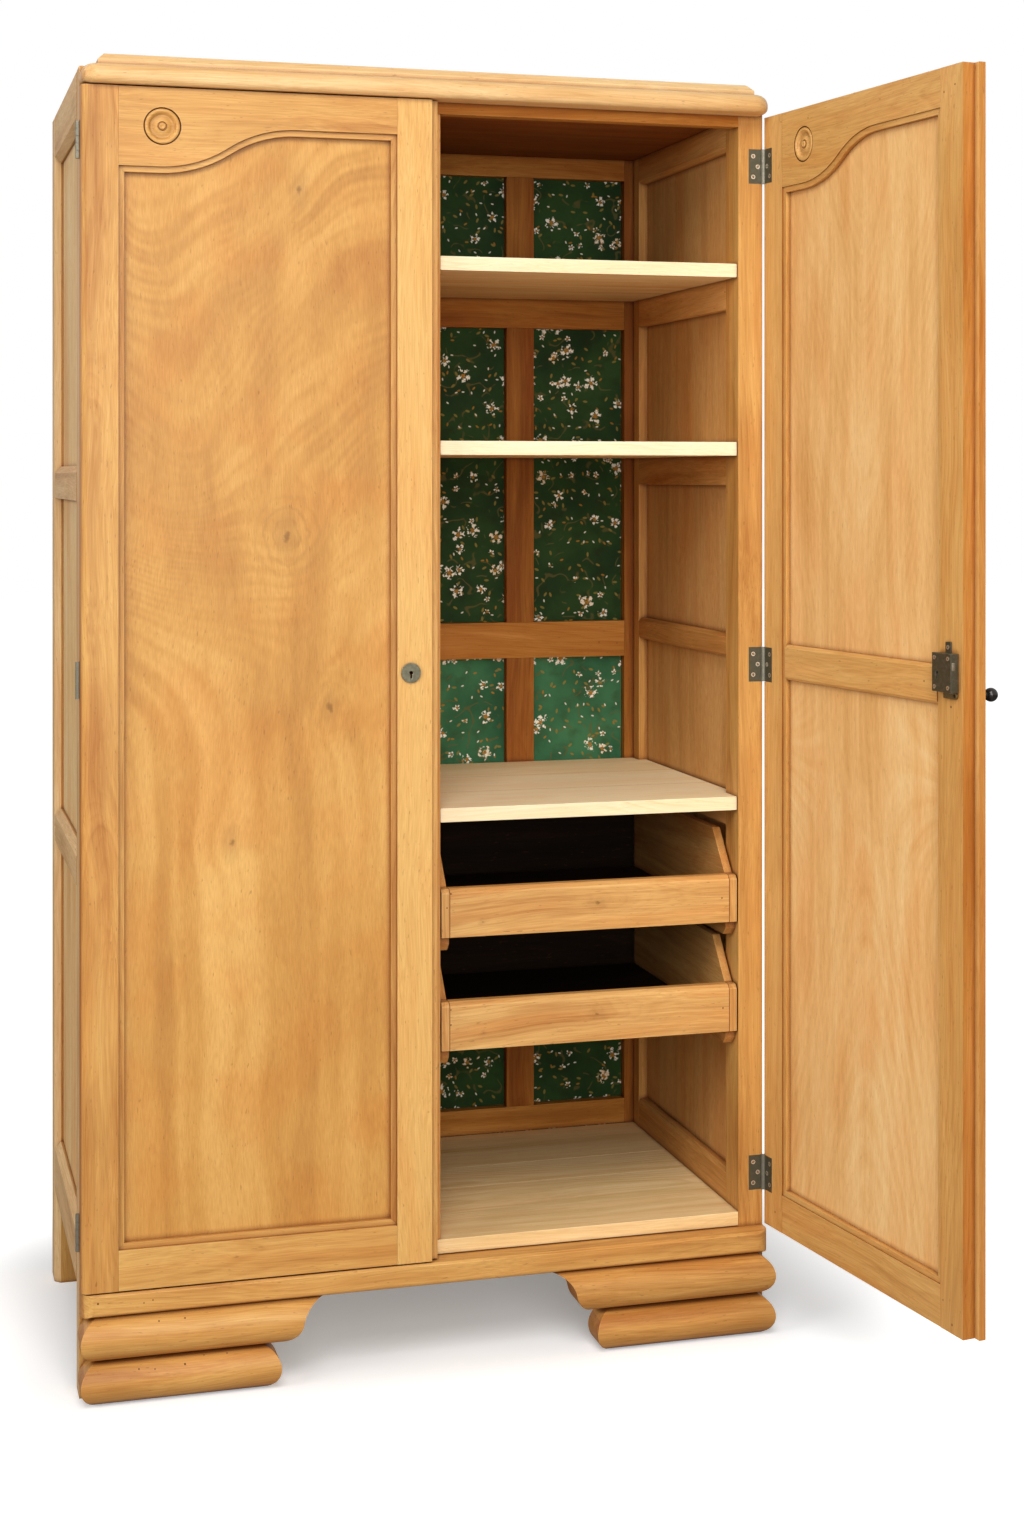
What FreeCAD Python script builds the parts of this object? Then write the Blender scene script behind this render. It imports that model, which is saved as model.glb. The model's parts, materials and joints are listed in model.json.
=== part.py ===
import FreeCAD, Part
import operator
import os
import Sketcher

# Two door linen wardrobe, millimetres: X to the right, Y to the back and Z up.
# While it is modelled, X is zero in the middle of the carcass, Y is zero on the front
# faces of the posts and Z is zero on the floor. The finished nodes are then moved, so that
# the origin lies under the middle of everything, with the right door standing open.

SIZES = {
    # Carcass
    "carcass_width": 976,
    "carcass_depth": 495,
    "carcass_height": 1778,
    "post_width": 37,
    "post_depth": 50,
    "side_rail_thickness": 13,
    "side_panel_thickness": 9,
    "side_bevel": 9,
    "side_rail_height": 48,
    "side_top_rail_height": 70,
    "side_upper_rail_drop": 581,
    "side_lower_rail_low": 676,
    "side_bottom_rail_low": 143,
    "side_bottom_rail_height": 73,
    "inner_rail_bevel": 5,
    "inner_middle_rail_low": 965,
    "inner_middle_rail_height": 34,
    "inner_bottom_rail_low": 120,
    "inner_bottom_rail_height": 93,
    "ceiling_drop": 28,
    "ceiling_thickness": 6,
    "top_rail_drop": 15,
    "top_rail_thickness": 22,
    "partition_thickness": 16,
    "partition_setback": 1.5,
    # Floor of the carcass
    "floor_height": 167,
    "floor_thickness": 20,
    "floor_rail_height": 32,
    "floor_rail_thickness": 22,
    "floor_rail_setback": 3,
    "floor_bearer_height": 22,
    # Back
    "back_sheet_thickness": 5,
    "back_frame_thickness": 18,
    "back_top_rail_height": 34,
    "back_upper_rail_drop": 279,
    "back_upper_rail_height": 50,
    "back_middle_rail_low": 935,
    "back_middle_rail_height": 58,
    "back_bottom_rail_height": 40,
    "back_stile_width": 16,
    "muntin_start": 234,
    "muntin_width": 46,
    # Top mouldings
    "cornice_height": 27,
    "cornice_depth": 42,
    "cornice_upper_round": 15,
    "cornice_lower_round": 9,
    "cornice_corner": 26,
    "cap_height": 15,
    "cap_side_setback": 22,
    "cap_front_overhang": 25,
    "cap_back_setback": 20,
    "cap_bevel": 9,
    # Base moulding and feet
    "base_rail_height": 31,
    "base_rail_depth": 31,
    "base_rail_round": 7,
    "base_rail_bevel": 3,
    "base_rail_corner": 20,
    "roll_height": 57.5,
    "roll_depth": 48,
    "roll_overhang": 2,
    "lower_roll_length": 267,
    "upper_roll_length": 332,
    "upper_roll_waist": 69,
    "foot_block_thickness": 22,
    "foot_block_length": 208,
    "foot_block_lift": 4,
    # Shelves and what carries them
    "shelf_thickness": 20,
    "shelf_setback": 4,
    "shelf_side_gap": 0.5,
    "upper_shelf_drop": 212,
    "middle_shelf_drop": 470,
    "lower_shelf_height": 767,
    "bearer_thickness": 15,
    "bearer_height": 43,
    "low_bearer_height": 27,
    "bearer_setback": 12,
    "partition_bearer_setback": 66,
    "shelf_tongue": 13,
    "runner_height": 21,
    # Trays
    "upper_tray_low": 586,
    "lower_tray_low": 428,
    "tray_front_height": 68,
    "tray_front_thickness": 20,
    "tray_front_bevel": 6,
    "tray_front_setback": 1,
    "tray_side_height": 127,
    "tray_side_thickness": 12,
    "tray_side_slope": 50,
    "tray_side_gap": 1.5,
    "tray_back_gap": 4,
    "tray_bottom_thickness": 6,
    "tray_bottom_lift": 4,
    # Hanging rail
    "rail_drop": 110,
    "rail_radius": 10,
    "rail_wall": 1.5,
    "rail_cleat_height": 60,
    "socket_wall": 2.5,
    "socket_depth": 12,
    "socket_flange": 8,
    "socket_flange_thickness": 2,
    # Doors
    "door_low": 148,
    "door_top_gap": 0.5,
    "door_thickness": 27,
    "door_gap": 1.5,
    "meeting_gap": 1,
    "door_edge_round": 9,
    "hinge_stile_width": 49,
    "meeting_stile_width": 49,
    "overlap_width": 10,
    "overlap_thickness": 9.5,
    "overlap_gap": 0.5,
    "bottom_rail_height": 54,
    "top_rail_depth": 50,
    "wave_drop": 56,
    "wave_start": 103,
    "wave_length": 185,
    "panel_recess": 12,
    "panel_thickness": 6,
    "bead_width": 8,
    "front_bead_setback": 4,
    "rear_bead_setback": 2,
    "cross_rail_low": 940,
    "cross_rail_height": 50,
    "cross_rail_bevel": 4,
    "rosette_radius": 24.5,
    "rosette_gap": 0.6,
    "rosette_depth": 6,
    "rosette_proud": 0.6,
    "rosette_dish": 14,
    "rosette_dish_round": 5,
    "rosette_dish_lift": 2,
    "rosette_boss": 5.5,
    "rosette_boss_height": 0.8,
    "rosette_from_edge": 107,
    "rosette_from_top": 52,
    # Hinges
    "upper_hinge_drop": 71,
    "middle_hinge_middle": 958,
    "lower_hinge_middle": 222,
    "hinge_height": 50,
    "leaf_width": 21,
    "leaf_thickness": 2,
    "barrel_radius": 3.75,
    "barrel_offset": 1.5,
    "barrel_clearance": 0.4,
    "pin_radius": 1.75,
    "pin_clearance": 0.05,
    "knuckle_gap": 0.4,
    "screw_head_radius": 3.1,
    "screw_head_depth": 1.5,
    "screw_radius": 1.5,
    "screw_length": 15,
    "screw_near": 7,
    "screw_far": 14,
    "screw_spread": 15,
    # Locks
    "lock_from_middle": 10,
    "lock_width": 41,
    "lock_height": 49,
    "lock_thickness": 12,
    "right_lock_low": 958,
    "left_lock_low": 936,
    "lug_width": 12,
    "lug_height": 14,
    "lug_thickness": 1.6,
    "lock_screw_inset": 6,
    "lock_screw_head": 2.6,
    "lock_screw_head_height": 1,
    "lock_screw_radius": 1.4,
    "lock_screw_bite": 10,
    "bolt_length": 33,
    "bolt_height": 9,
    "bolt_thickness": 4,
    "bolt_rise": 33,
    "bolt_recess": 0.5,
    "bolt_clearance": 0.4,
    "bolt_pocket": 6,
    "keyhole_rise": 24,
    "keyhole_from_edge": 31,
    "keyhole_radius": 2.6,
    "keyhole_slot": 2.4,
    "keyhole_drop": 8,
    "escutcheon_radius": 13.75,
    "escutcheon_thickness": 2,
    # Turn knob
    "knob_radius": 9,
    "knob_neck_radius": 4.2,
    "knob_neck_length": 16,
    "knob_from_edge": 14,
    "knob_below_lock": 4.5,
    "spindle_radius": 2.5,
    "spindle_clearance": 0.05,
    "catch_gap": 0.3,
    "catch_thickness": 3,
    "catch_radius": 4,
    "catch_length": 24,
    # Length by which a cutting shape runs past what it cuts
    "overrun": 2,
}

OPEN_DEGREES = 98.5
KNUCKLE_COUNT = 5
FLOOR_PLANK_SHARES = (0.46, 0.2, 0.34)

OPERATIONS = {"+": operator.add, "-": operator.sub, "*": operator.mul, "/": operator.truediv}


class Length:
    """A size in millimetres that also carries its formula in the words of the sheet."""

    def __init__(self, value, formula):
        self.value = value
        self.formula = formula

    def __add__(self, other):
        return joined(self, "+", other)

    def __radd__(self, other):
        return joined(other, "+", self)

    def __sub__(self, other):
        return joined(self, "-", other)

    def __rsub__(self, other):
        return joined(other, "-", self)

    def __mul__(self, other):
        return joined(self, "*", other)

    def __rmul__(self, other):
        return joined(other, "*", self)

    def __truediv__(self, other):
        return joined(self, "/", other)

    def __neg__(self):
        return Length(-self.value, "(-" + self.formula + ")")


def as_length(item):
    """Gives a plain number the same form as a length."""
    if isinstance(item, Length):
        return item
    return Length(item, repr(item))


def joined(left, sign, right):
    """One length made of two, with the formula that says how."""
    left = as_length(left)
    right = as_length(right)
    value = OPERATIONS[sign](left.value, right.value)
    return Length(value, "(" + left.formula + " " + sign + " " + right.formula + ")")


class Sheet:
    """The driving dimensions, each in a cell with its name as alias."""

    def __init__(self, document):
        self.cells = document.addObject("Spreadsheet::Sheet", "Sizes")
        for row, (name, value) in enumerate(SIZES.items(), start=1):
            self.cells.set("A" + str(row), name)
            self.cells.set("B" + str(row), str(value))
            self.cells.setAlias("B" + str(row), name)

    def __getattr__(self, name):
        return Length(SIZES[name], "Sizes." + name)


document = FreeCAD.newDocument("wardrobe")
s = Sheet(document)
document.recompute()
nodes = []


def bind(item, prop, length):
    """Ties one property of an object to the sheet."""
    item.setExpression(prop, as_length(length).formula)


def place(item, at):
    """Ties the place of an object to the sheet."""
    for letter, value in zip("xyz", at):
        bind(item, "Placement.Base." + letter, value)
    return item


# Basic pieces

TURNS = {
    "x": FreeCAD.Rotation(FreeCAD.Vector(0, 1, 0), 90),
    "y": FreeCAD.Rotation(FreeCAD.Vector(1, 0, 0), -90),
    "-y": FreeCAD.Rotation(FreeCAD.Vector(1, 0, 0), 90),
    "z": FreeCAD.Rotation(),
}


def board(across, deep, up):
    """A square board between two values on each axis."""
    item = document.addObject("Part::Box", "board")
    for prop, (start, end) in (("Length", across), ("Width", deep), ("Height", up)):
        bind(item, prop, as_length(end) - start)
    return place(item, (across[0], deep[0], up[0]))


def turned(item, axis, at):
    """Lays a round piece along an axis, with its start at a point."""
    item.Placement = FreeCAD.Placement(FreeCAD.Vector(), TURNS[axis])
    return place(item, at)


def rod(axis, radius, length, at):
    """A round bar along an axis."""
    item = document.addObject("Part::Cylinder", "rod")
    bind(item, "Radius", radius)
    bind(item, "Height", length)
    return turned(item, axis, at)


def taper(axis, first_radius, last_radius, length, at):
    """A tapered round along an axis."""
    item = document.addObject("Part::Cone", "taper")
    bind(item, "Radius1", first_radius)
    bind(item, "Radius2", last_radius)
    bind(item, "Height", length)
    return turned(item, axis, at)


def ring(axis, radius, section, at):
    """A round ring about an axis."""
    item = document.addObject("Part::Torus", "ring")
    bind(item, "Radius1", radius)
    bind(item, "Radius2", section)
    return turned(item, axis, at)


def ball(radius, at):
    """A ball."""
    item = document.addObject("Part::Sphere", "ball")
    bind(item, "Radius", radius)
    return place(item, at)


def outline_edge(start, end, radius):
    """A straight edge, or an arc that turns left where its radius is positive."""
    first = FreeCAD.Vector(start[0].value, start[1].value, 0)
    last = FreeCAD.Vector(end[0].value, end[1].value, 0)
    if radius is None:
        return Part.LineSegment(first, last), True
    left_turn = radius.value > 0
    size = abs(radius.value)
    chord = last - first
    middle = (first + last) * 0.5
    rise = max(size ** 2 - (chord.Length / 2) ** 2, 0) ** 0.5
    square = FreeCAD.Vector(-chord.y, chord.x, 0).normalize()
    centre = middle + square * (rise if left_turn else -rise)
    circle = Part.Circle(centre, FreeCAD.Vector(0, 0, 1), size)
    if left_turn:
        return Part.ArcOfCircle(circle, circle.parameter(first), circle.parameter(last)), True
    return Part.ArcOfCircle(circle, circle.parameter(last), circle.parameter(first)), False


PLANES = {"x": "YZ_Plane", "y": "XZ_Plane", "z": "XY_Plane"}


def shaped(axis, start, end, points):
    """A piece of one outline, drawn square to an axis and made solid from start to end.

    Each point is (u, v) or (u, v, radius): the radius makes the edge to the next point an
    arc. Every point and radius is a constraint tied to the sheet.
    """
    body = document.addObject("PartDesign::Body", "shaped")
    sketch = body.newObject("Sketcher::SketchObject", "outline")
    plane = [item for item in body.Origin.OriginFeatures if item.Role == PLANES[axis]][0]
    sketch.AttachmentSupport = [(plane, "")]
    sketch.MapMode = "FlatFace"
    corners = [(as_length(item[0]), as_length(item[1])) for item in points]
    radii = [item[2] if len(item) > 2 else None for item in points]
    count = len(corners)
    starts = []
    ends = []
    for index, corner in enumerate(corners):
        edge, forward = outline_edge(corner, corners[(index + 1) % count], radii[index])
        sketch.addGeometry(edge, False)
        starts.append((index, 1 if forward else 2))
        ends.append((index, 2 if forward else 1))
    for index in range(count):
        following = starts[(index + 1) % count]
        sketch.addConstraint(Sketcher.Constraint("Coincident", *ends[index], *following))
    for index, corner in enumerate(corners):
        for kind, length in zip(("DistanceX", "DistanceY"), corner):
            rule = Sketcher.Constraint(kind, -1, 1, *starts[index], float(length.value))
            number = sketch.addConstraint(rule)
            bind(sketch, "Constraints[" + str(number) + "]", length)
        if radii[index] is not None:
            size = radii[index] if radii[index].value > 0 else -radii[index]
            number = sketch.addConstraint(Sketcher.Constraint("Radius", index, size.value))
            bind(sketch, "Constraints[" + str(number) + "]", size)
    pad = body.newObject("PartDesign::Pad", "pad")
    pad.Profile = sketch
    pad.Reversed = axis == "y"
    bind(pad, "Length", as_length(end) - start)
    bind(body, "Placement.Base." + axis, start)
    return body


def fused(*items):
    """Several shapes made one."""
    item = document.addObject("Part::MultiFuse", "fused")
    item.Shapes = list(items)
    item.Refine = True
    return item


def cut(base, *tools):
    """A shape with others taken out of it."""
    item = document.addObject("Part::Cut", "cut")
    item.Base = base
    item.Tool = tools[0] if len(tools) == 1 else fused(*tools)
    item.Refine = True
    return item


def shared(first, second):
    """What two shapes have in common."""
    item = document.addObject("Part::Common", "shared")
    item.Base = first
    item.Tool = second
    item.Refine = True
    return item


def mirrored(item):
    """The same piece on the left of the middle."""
    copy = document.addObject("Part::Mirroring", "mirrored")
    copy.Source = item
    copy.Normal = FreeCAD.Vector(1, 0, 0)
    return copy


def pair(item):
    """A piece on the right of the middle and its like on the left."""
    return [item, mirrored(item)]


def node(label, pieces, frame=FreeCAD.Placement()):
    """One node with its solids, in the rest place of the body that carries it."""
    group = document.addObject("Part::Compound", label)
    group.Links = pieces
    group.Label = label
    group.Placement = frame
    nodes.append(group)


# Places that many pieces share

side = s.carcass_width / 2
post_inner = side - s.post_width
panel_outer = side - s.side_rail_thickness
panel_inner = panel_outer - s.side_panel_thickness
back_post = s.carcass_depth - s.post_depth
frame_back = s.carcass_depth - s.back_sheet_thickness
frame_front = frame_back - s.back_frame_thickness
partition_face = s.partition_thickness / 2
floor_low = s.floor_height - s.floor_thickness
ceiling_low = s.carcass_height - s.ceiling_drop
ceiling_top = ceiling_low + s.ceiling_thickness
top_rail_low = ceiling_low - s.top_rail_drop
side_top_rail_low = s.carcass_height - s.side_top_rail_height
side_upper_rail_low = s.carcass_height - s.side_upper_rail_drop
back_upper_rail_low = ceiling_low - s.back_upper_rail_drop
upper_shelf = ceiling_low - s.upper_shelf_drop
middle_shelf = ceiling_low - s.middle_shelf_drop
hanging_height = ceiling_low - s.rail_drop
upper_hinge = ceiling_low - s.upper_hinge_drop
door_inner = -s.door_gap
door_outer = door_inner - s.door_thickness
door_top = ceiling_low - s.door_top_gap
base_low = s.roll_height * 2
base_top = base_low + s.base_rail_height
knob_height = s.right_lock_low - s.knob_below_lock
barrel_x = side + s.barrel_offset
barrel_y = door_inner / 2
between_posts = (s.post_depth, back_post)
across_carcass = (-post_inner, post_inner)


# Hinges

def hinge_screws(low, facing):
    """The three countersunk screws of one leaf, driven away from the gap."""
    axis = "y" if facing > 0 else "-y"
    face = as_length(0) if facing > 0 else door_inner
    middle = low + s.hinge_height / 2
    spots = (
        (s.screw_far, middle - s.screw_spread),
        (s.screw_near, middle),
        (s.screw_far, middle + s.screw_spread),
    )
    screws = []
    for inset, height in spots:
        head = taper(axis, s.screw_head_radius, s.screw_radius, s.screw_head_depth,
                     (side - inset, face, height))
        shank = rod(axis, s.screw_radius, s.screw_length, (side - inset, face, height))
        screws.append(fused(head, shank))
    return screws


def leaf_plate(low, facing):
    """The flat plate of one leaf, let into the wood."""
    deep = (0, s.leaf_thickness) if facing > 0 else (door_inner - s.leaf_thickness, door_inner)
    return board((side - s.leaf_width, side), deep, (low, low + s.hinge_height))


def barrel_room(low):
    """The room that the turning knuckles need in the wood and in the other leaf."""
    return rod("z", s.barrel_radius + s.barrel_clearance, s.hinge_height + s.barrel_clearance * 2,
               (barrel_x, barrel_y, low - s.barrel_clearance))


def leaf(low, facing, screws):
    """One leaf with its own knuckles, bored for the pin and the screws."""
    deep = (0, s.leaf_thickness) if facing > 0 else (door_inner - s.leaf_thickness, door_inner)
    pitch = s.hinge_height / KNUCKLE_COUNT
    shapes = [cut(leaf_plate(low, facing), barrel_room(low))]
    for index in range(0 if facing > 0 else 1, KNUCKLE_COUNT, 2):
        start = low + pitch * index + s.knuckle_gap / 2
        end = low + pitch * (index + 1) - s.knuckle_gap / 2
        shapes.append(board((side - s.barrel_radius, barrel_x), deep, (start, end)))
        shapes.append(rod("z", s.barrel_radius, end - start, (barrel_x, barrel_y, start)))
    bore = s.pin_radius if facing > 0 else s.pin_radius + s.pin_clearance
    hole = rod("z", bore, s.hinge_height, (barrel_x, barrel_y, low))
    return cut(fused(*shapes), hole, *screws)


def build_hinges():
    """Three butt hinges on the right, with what they need cut out of post and door."""
    parts = {"carcass_leaves": [], "door_leaves": [], "pins": [], "carcass_screws": [],
             "door_screws": [], "carcass_cuts": [], "door_cuts": []}
    for middle in (s.lower_hinge_middle, s.middle_hinge_middle, upper_hinge):
        low = middle - s.hinge_height / 2
        for body, facing in (("carcass", 1), ("door", -1)):
            screws = hinge_screws(low, facing)
            parts[body + "_screws"] += screws
            parts[body + "_leaves"].append(leaf(low, facing, screws))
            parts[body + "_cuts"] += [leaf_plate(low, facing), barrel_room(low)] + screws
        parts["pins"].append(rod("z", s.pin_radius, s.hinge_height, (barrel_x, barrel_y, low)))
    return parts


hinges = build_hinges()


# Side frames

def build_side_frames():
    """Posts that run down as legs, planted rails and the panels between them."""
    bevel = s.side_bevel
    front_post = shaped("z", 0, s.carcass_height, [
        (post_inner, 0),
        (side, 0),
        (side, s.post_depth - bevel),
        (side - bevel, s.post_depth),
        (post_inner, s.post_depth),
    ])
    front_post = cut(front_post, *hinges["carcass_cuts"])
    node("front_posts", pair(front_post))
    back = shaped("z", 0, s.carcass_height, [
        (post_inner, back_post),
        (side - bevel, back_post),
        (side, back_post + bevel),
        (side, s.carcass_depth),
        (post_inner, s.carcass_depth),
    ])
    node("back_posts", pair(back))
    rails = [shaped("y", *between_posts, [
        (panel_outer, side_top_rail_low),
        (side - bevel, side_top_rail_low),
        (side, side_top_rail_low + bevel),
        (side, s.carcass_height),
        (panel_outer, s.carcass_height),
    ])]
    for low, height in (
        (side_upper_rail_low, s.side_rail_height),
        (s.side_lower_rail_low, s.side_rail_height),
        (s.side_bottom_rail_low, s.side_bottom_rail_height),
    ):
        rails.append(shaped("y", *between_posts, [
            (panel_outer, low),
            (side, low),
            (side, low + height - bevel),
            (side - bevel, low + height),
            (panel_outer, low + height),
        ]))
    node("side_rails", rails + [mirrored(rail) for rail in rails])
    panel = board((panel_inner, panel_outer), between_posts,
                  (s.side_bottom_rail_low, s.carcass_height))
    node("side_panels", pair(panel))


def build_inner_side_rails():
    """Rails on the inside of the side panels, and the cleat of the hanging rail."""
    bevel = s.inner_rail_bevel
    top = shaped("y", *between_posts, [
        (post_inner, side_top_rail_low + bevel),
        (post_inner + bevel, side_top_rail_low),
        (panel_inner, side_top_rail_low),
        (panel_inner, ceiling_low),
        (post_inner, ceiling_low),
    ])
    middle_high = s.inner_middle_rail_low + s.inner_middle_rail_height
    middle = shaped("y", *between_posts, [
        (post_inner, s.inner_middle_rail_low + bevel),
        (post_inner + bevel, s.inner_middle_rail_low),
        (panel_inner, s.inner_middle_rail_low),
        (panel_inner, middle_high),
        (post_inner + bevel, middle_high),
        (post_inner, middle_high - bevel),
    ])
    bottom_high = s.inner_bottom_rail_low + s.inner_bottom_rail_height
    bottom = shaped("y", *between_posts, [
        (post_inner, s.inner_bottom_rail_low),
        (panel_inner, s.inner_bottom_rail_low),
        (panel_inner, bottom_high),
        (post_inner + bevel, bottom_high),
        (post_inner, bottom_high - bevel),
    ])
    cleat = board((-panel_inner, -post_inner), between_posts,
                  (hanging_height - s.rail_cleat_height / 2, hanging_height + s.rail_cleat_height / 2))
    rails = [top, middle, bottom]
    node("inner_side_rails", rails + [mirrored(rail) for rail in rails] + [cleat])


# Carcass between the sides

def build_top():
    """Rails, ceiling, the bullnosed cornice in front and the bevelled cap on top."""
    front = board(across_carcass, (0, s.top_rail_thickness), (top_rail_low, s.carcass_height))
    back = board(across_carcass, (frame_front, frame_back), (ceiling_top, s.carcass_height))
    node("top_rails", [front, back])
    panel = board(across_carcass, (s.top_rail_thickness, frame_back), (ceiling_low, ceiling_top))
    node("ceiling_panel", [panel])
    low = s.carcass_height - s.cornice_height
    upper = s.cornice_upper_round
    lower = s.cornice_lower_round
    nose = shaped("x", -side, side, [
        (0, low),
        (0, s.carcass_height),
        (upper - s.cornice_depth, s.carcass_height, upper),
        (-s.cornice_depth, s.carcass_height - upper),
        (-s.cornice_depth, low + lower, lower),
        (lower - s.cornice_depth, low),
    ])
    corner = s.cornice_corner
    plan = shaped("z", low, s.carcass_height, [
        (-side, 0),
        (-side, corner - s.cornice_depth, corner),
        (corner - side, -s.cornice_depth),
        (side - corner, -s.cornice_depth, corner),
        (side, corner - s.cornice_depth),
        (side, 0),
    ])
    node("cornice", [shared(nose, plan)])
    cap_high = s.carcass_height + s.cap_height
    cap_side = side - s.cap_side_setback
    cap_back = s.carcass_depth - s.cap_back_setback
    lengthwise = shaped("x", -cap_side, cap_side, [
        (-s.cap_front_overhang, s.carcass_height),
        (cap_back, s.carcass_height),
        (cap_back, cap_high),
        (s.cap_bevel - s.cap_front_overhang, cap_high),
        (-s.cap_front_overhang, cap_high - s.cap_bevel),
    ])
    crosswise = shaped("y", -s.cap_front_overhang, cap_back, [
        (-cap_side, s.carcass_height),
        (cap_side, s.carcass_height),
        (cap_side, cap_high - s.cap_bevel),
        (cap_side - s.cap_bevel, cap_high),
        (s.cap_bevel - cap_side, cap_high),
        (-cap_side, cap_high - s.cap_bevel),
    ])
    node("top_cap", [shared(lengthwise, crosswise)])


def build_floor():
    """Rails and bearers under the floor, and its planks, which run from side to side."""
    rail_low = floor_low - s.floor_rail_height
    front_end = s.floor_rail_setback + s.floor_rail_thickness
    back_start = frame_front - s.floor_rail_thickness
    front = board(across_carcass, (s.floor_rail_setback, front_end), (rail_low, floor_low))
    back = board(across_carcass, (back_start, frame_front), (rail_low, floor_low))
    bearer = board((post_inner - s.floor_rail_thickness, post_inner), (front_end, back_start),
                   (floor_low - s.floor_bearer_height, floor_low))
    node("floor_rails", [front, back] + pair(bearer))
    planks = []
    start = as_length(0)
    for share in FLOOR_PLANK_SHARES:
        end = start + frame_front * share
        planks.append(board(across_carcass, (start, end), (floor_low, s.floor_height)))
        start = end
    node("floor_boards", planks)


def bolt_pocket(lock_low, reach):
    """The pocket in the partition that a thrown lock bolt enters."""
    middle = door_inner + s.lock_thickness - s.bolt_thickness
    half_thick = s.bolt_thickness / 2 + s.bolt_clearance
    half_high = s.bolt_height / 2 + s.bolt_clearance
    height = lock_low + s.bolt_rise
    return board(reach, (middle - half_thick, middle + half_thick),
                 (height - half_high, height + half_high))


def build_partition():
    """The upright board between the two compartments."""
    blank = board((-partition_face, partition_face), (s.partition_setback, frame_front),
                  (s.floor_height, ceiling_low))
    right = bolt_pocket(s.right_lock_low, (partition_face - s.bolt_pocket, partition_face))
    left = bolt_pocket(s.left_lock_low, (-partition_face, s.bolt_pocket - partition_face))
    notch = board((-partition_face, partition_face), (0, s.top_rail_thickness),
                  (top_rail_low, ceiling_low))
    node("centre_partition", [cut(blank, right, left, notch)])


def build_back():
    """Planted frame of rails, stiles and muntins on one sheet with printed cloth paper."""
    deep = (frame_front, frame_back)
    stile_inner = post_inner - s.back_stile_width
    levels = (
        (s.floor_height, s.floor_height + s.back_bottom_rail_height),
        (s.back_middle_rail_low, s.back_middle_rail_low + s.back_middle_rail_height),
        (back_upper_rail_low, back_upper_rail_low + s.back_upper_rail_height),
        (ceiling_low - s.back_top_rail_height, ceiling_low),
    )
    node("back_rails", [board((-stile_inner, stile_inner), deep, level) for level in levels])
    uprights = [board((stile_inner, post_inner), deep, (s.floor_height, ceiling_low))]
    for below, above in zip(levels, levels[1:]):
        across = (s.muntin_start, s.muntin_start + s.muntin_width)
        uprights.append(board(across, deep, (below[1], above[0])))
    node("back_stiles", uprights + [mirrored(item) for item in uprights])
    sheet = board(across_carcass, (frame_back, s.carcass_depth), (floor_low, s.carcass_height))
    node("printed_back_panel", [sheet])


# Base

def build_base():
    """The moulded rail under the doors and the stacked rolls of the front feet."""
    depth = s.base_rail_depth
    lower = s.base_rail_round
    bevel = s.base_rail_bevel
    section = shaped("x", -side, side, [
        (0, base_low),
        (0, base_top),
        (bevel - depth, base_top),
        (-depth, base_top - bevel),
        (-depth, base_low + lower, lower),
        (lower - depth, base_low),
    ])
    corner = s.base_rail_corner
    plan = shaped("z", base_low, base_top, [
        (-side, 0),
        (-side, corner - depth, corner),
        (corner - side, -depth),
        (side - corner, -depth, corner),
        (side, corner - depth),
        (side, 0),
    ])
    node("base_rail", [shared(section, plan)])
    half = s.roll_height / 2
    outer = side + s.roll_overhang

    def roll_section(low, start):
        """The D section of one roll, from its inner end to its outer end."""
        return shaped("x", start, outer, [
            (0, low),
            (0, low + s.roll_height),
            (half - s.roll_depth, low + s.roll_height, half),
            (-s.roll_depth, low + half, half),
            (half - s.roll_depth, low),
        ])

    lower_start = outer - s.lower_roll_length
    lower_face = shaped("y", -s.roll_depth, 0, [
        (lower_start + half, 0),
        (outer - half, 0, half),
        (outer, half, half),
        (outer - half, s.roll_height),
        (lower_start + half, s.roll_height, half),
        (lower_start, half, half),
    ])
    node("lower_foot_rolls", pair(shared(roll_section(as_length(0), lower_start), lower_face)))
    upper_start = outer - s.upper_roll_length
    low = s.roll_height
    waist = s.upper_roll_waist
    ogee = (waist * waist + low * low) / (low * 4)
    upper_face = shaped("y", -s.roll_depth, 0, [
        (upper_start + waist, low),
        (outer - half, low, half),
        (outer, low + half, half),
        (outer - half, base_low),
        (upper_start, base_low, -ogee),
        (upper_start + waist / 2, low + half, ogee),
    ])
    node("upper_foot_rolls", pair(shared(roll_section(low, upper_start), upper_face)))
    block = board((post_inner - s.foot_block_length, post_inner), (0, s.foot_block_thickness),
                  (s.foot_block_lift, base_low))
    node("foot_blocks", pair(block))


# Fittings of the right compartment

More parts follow.
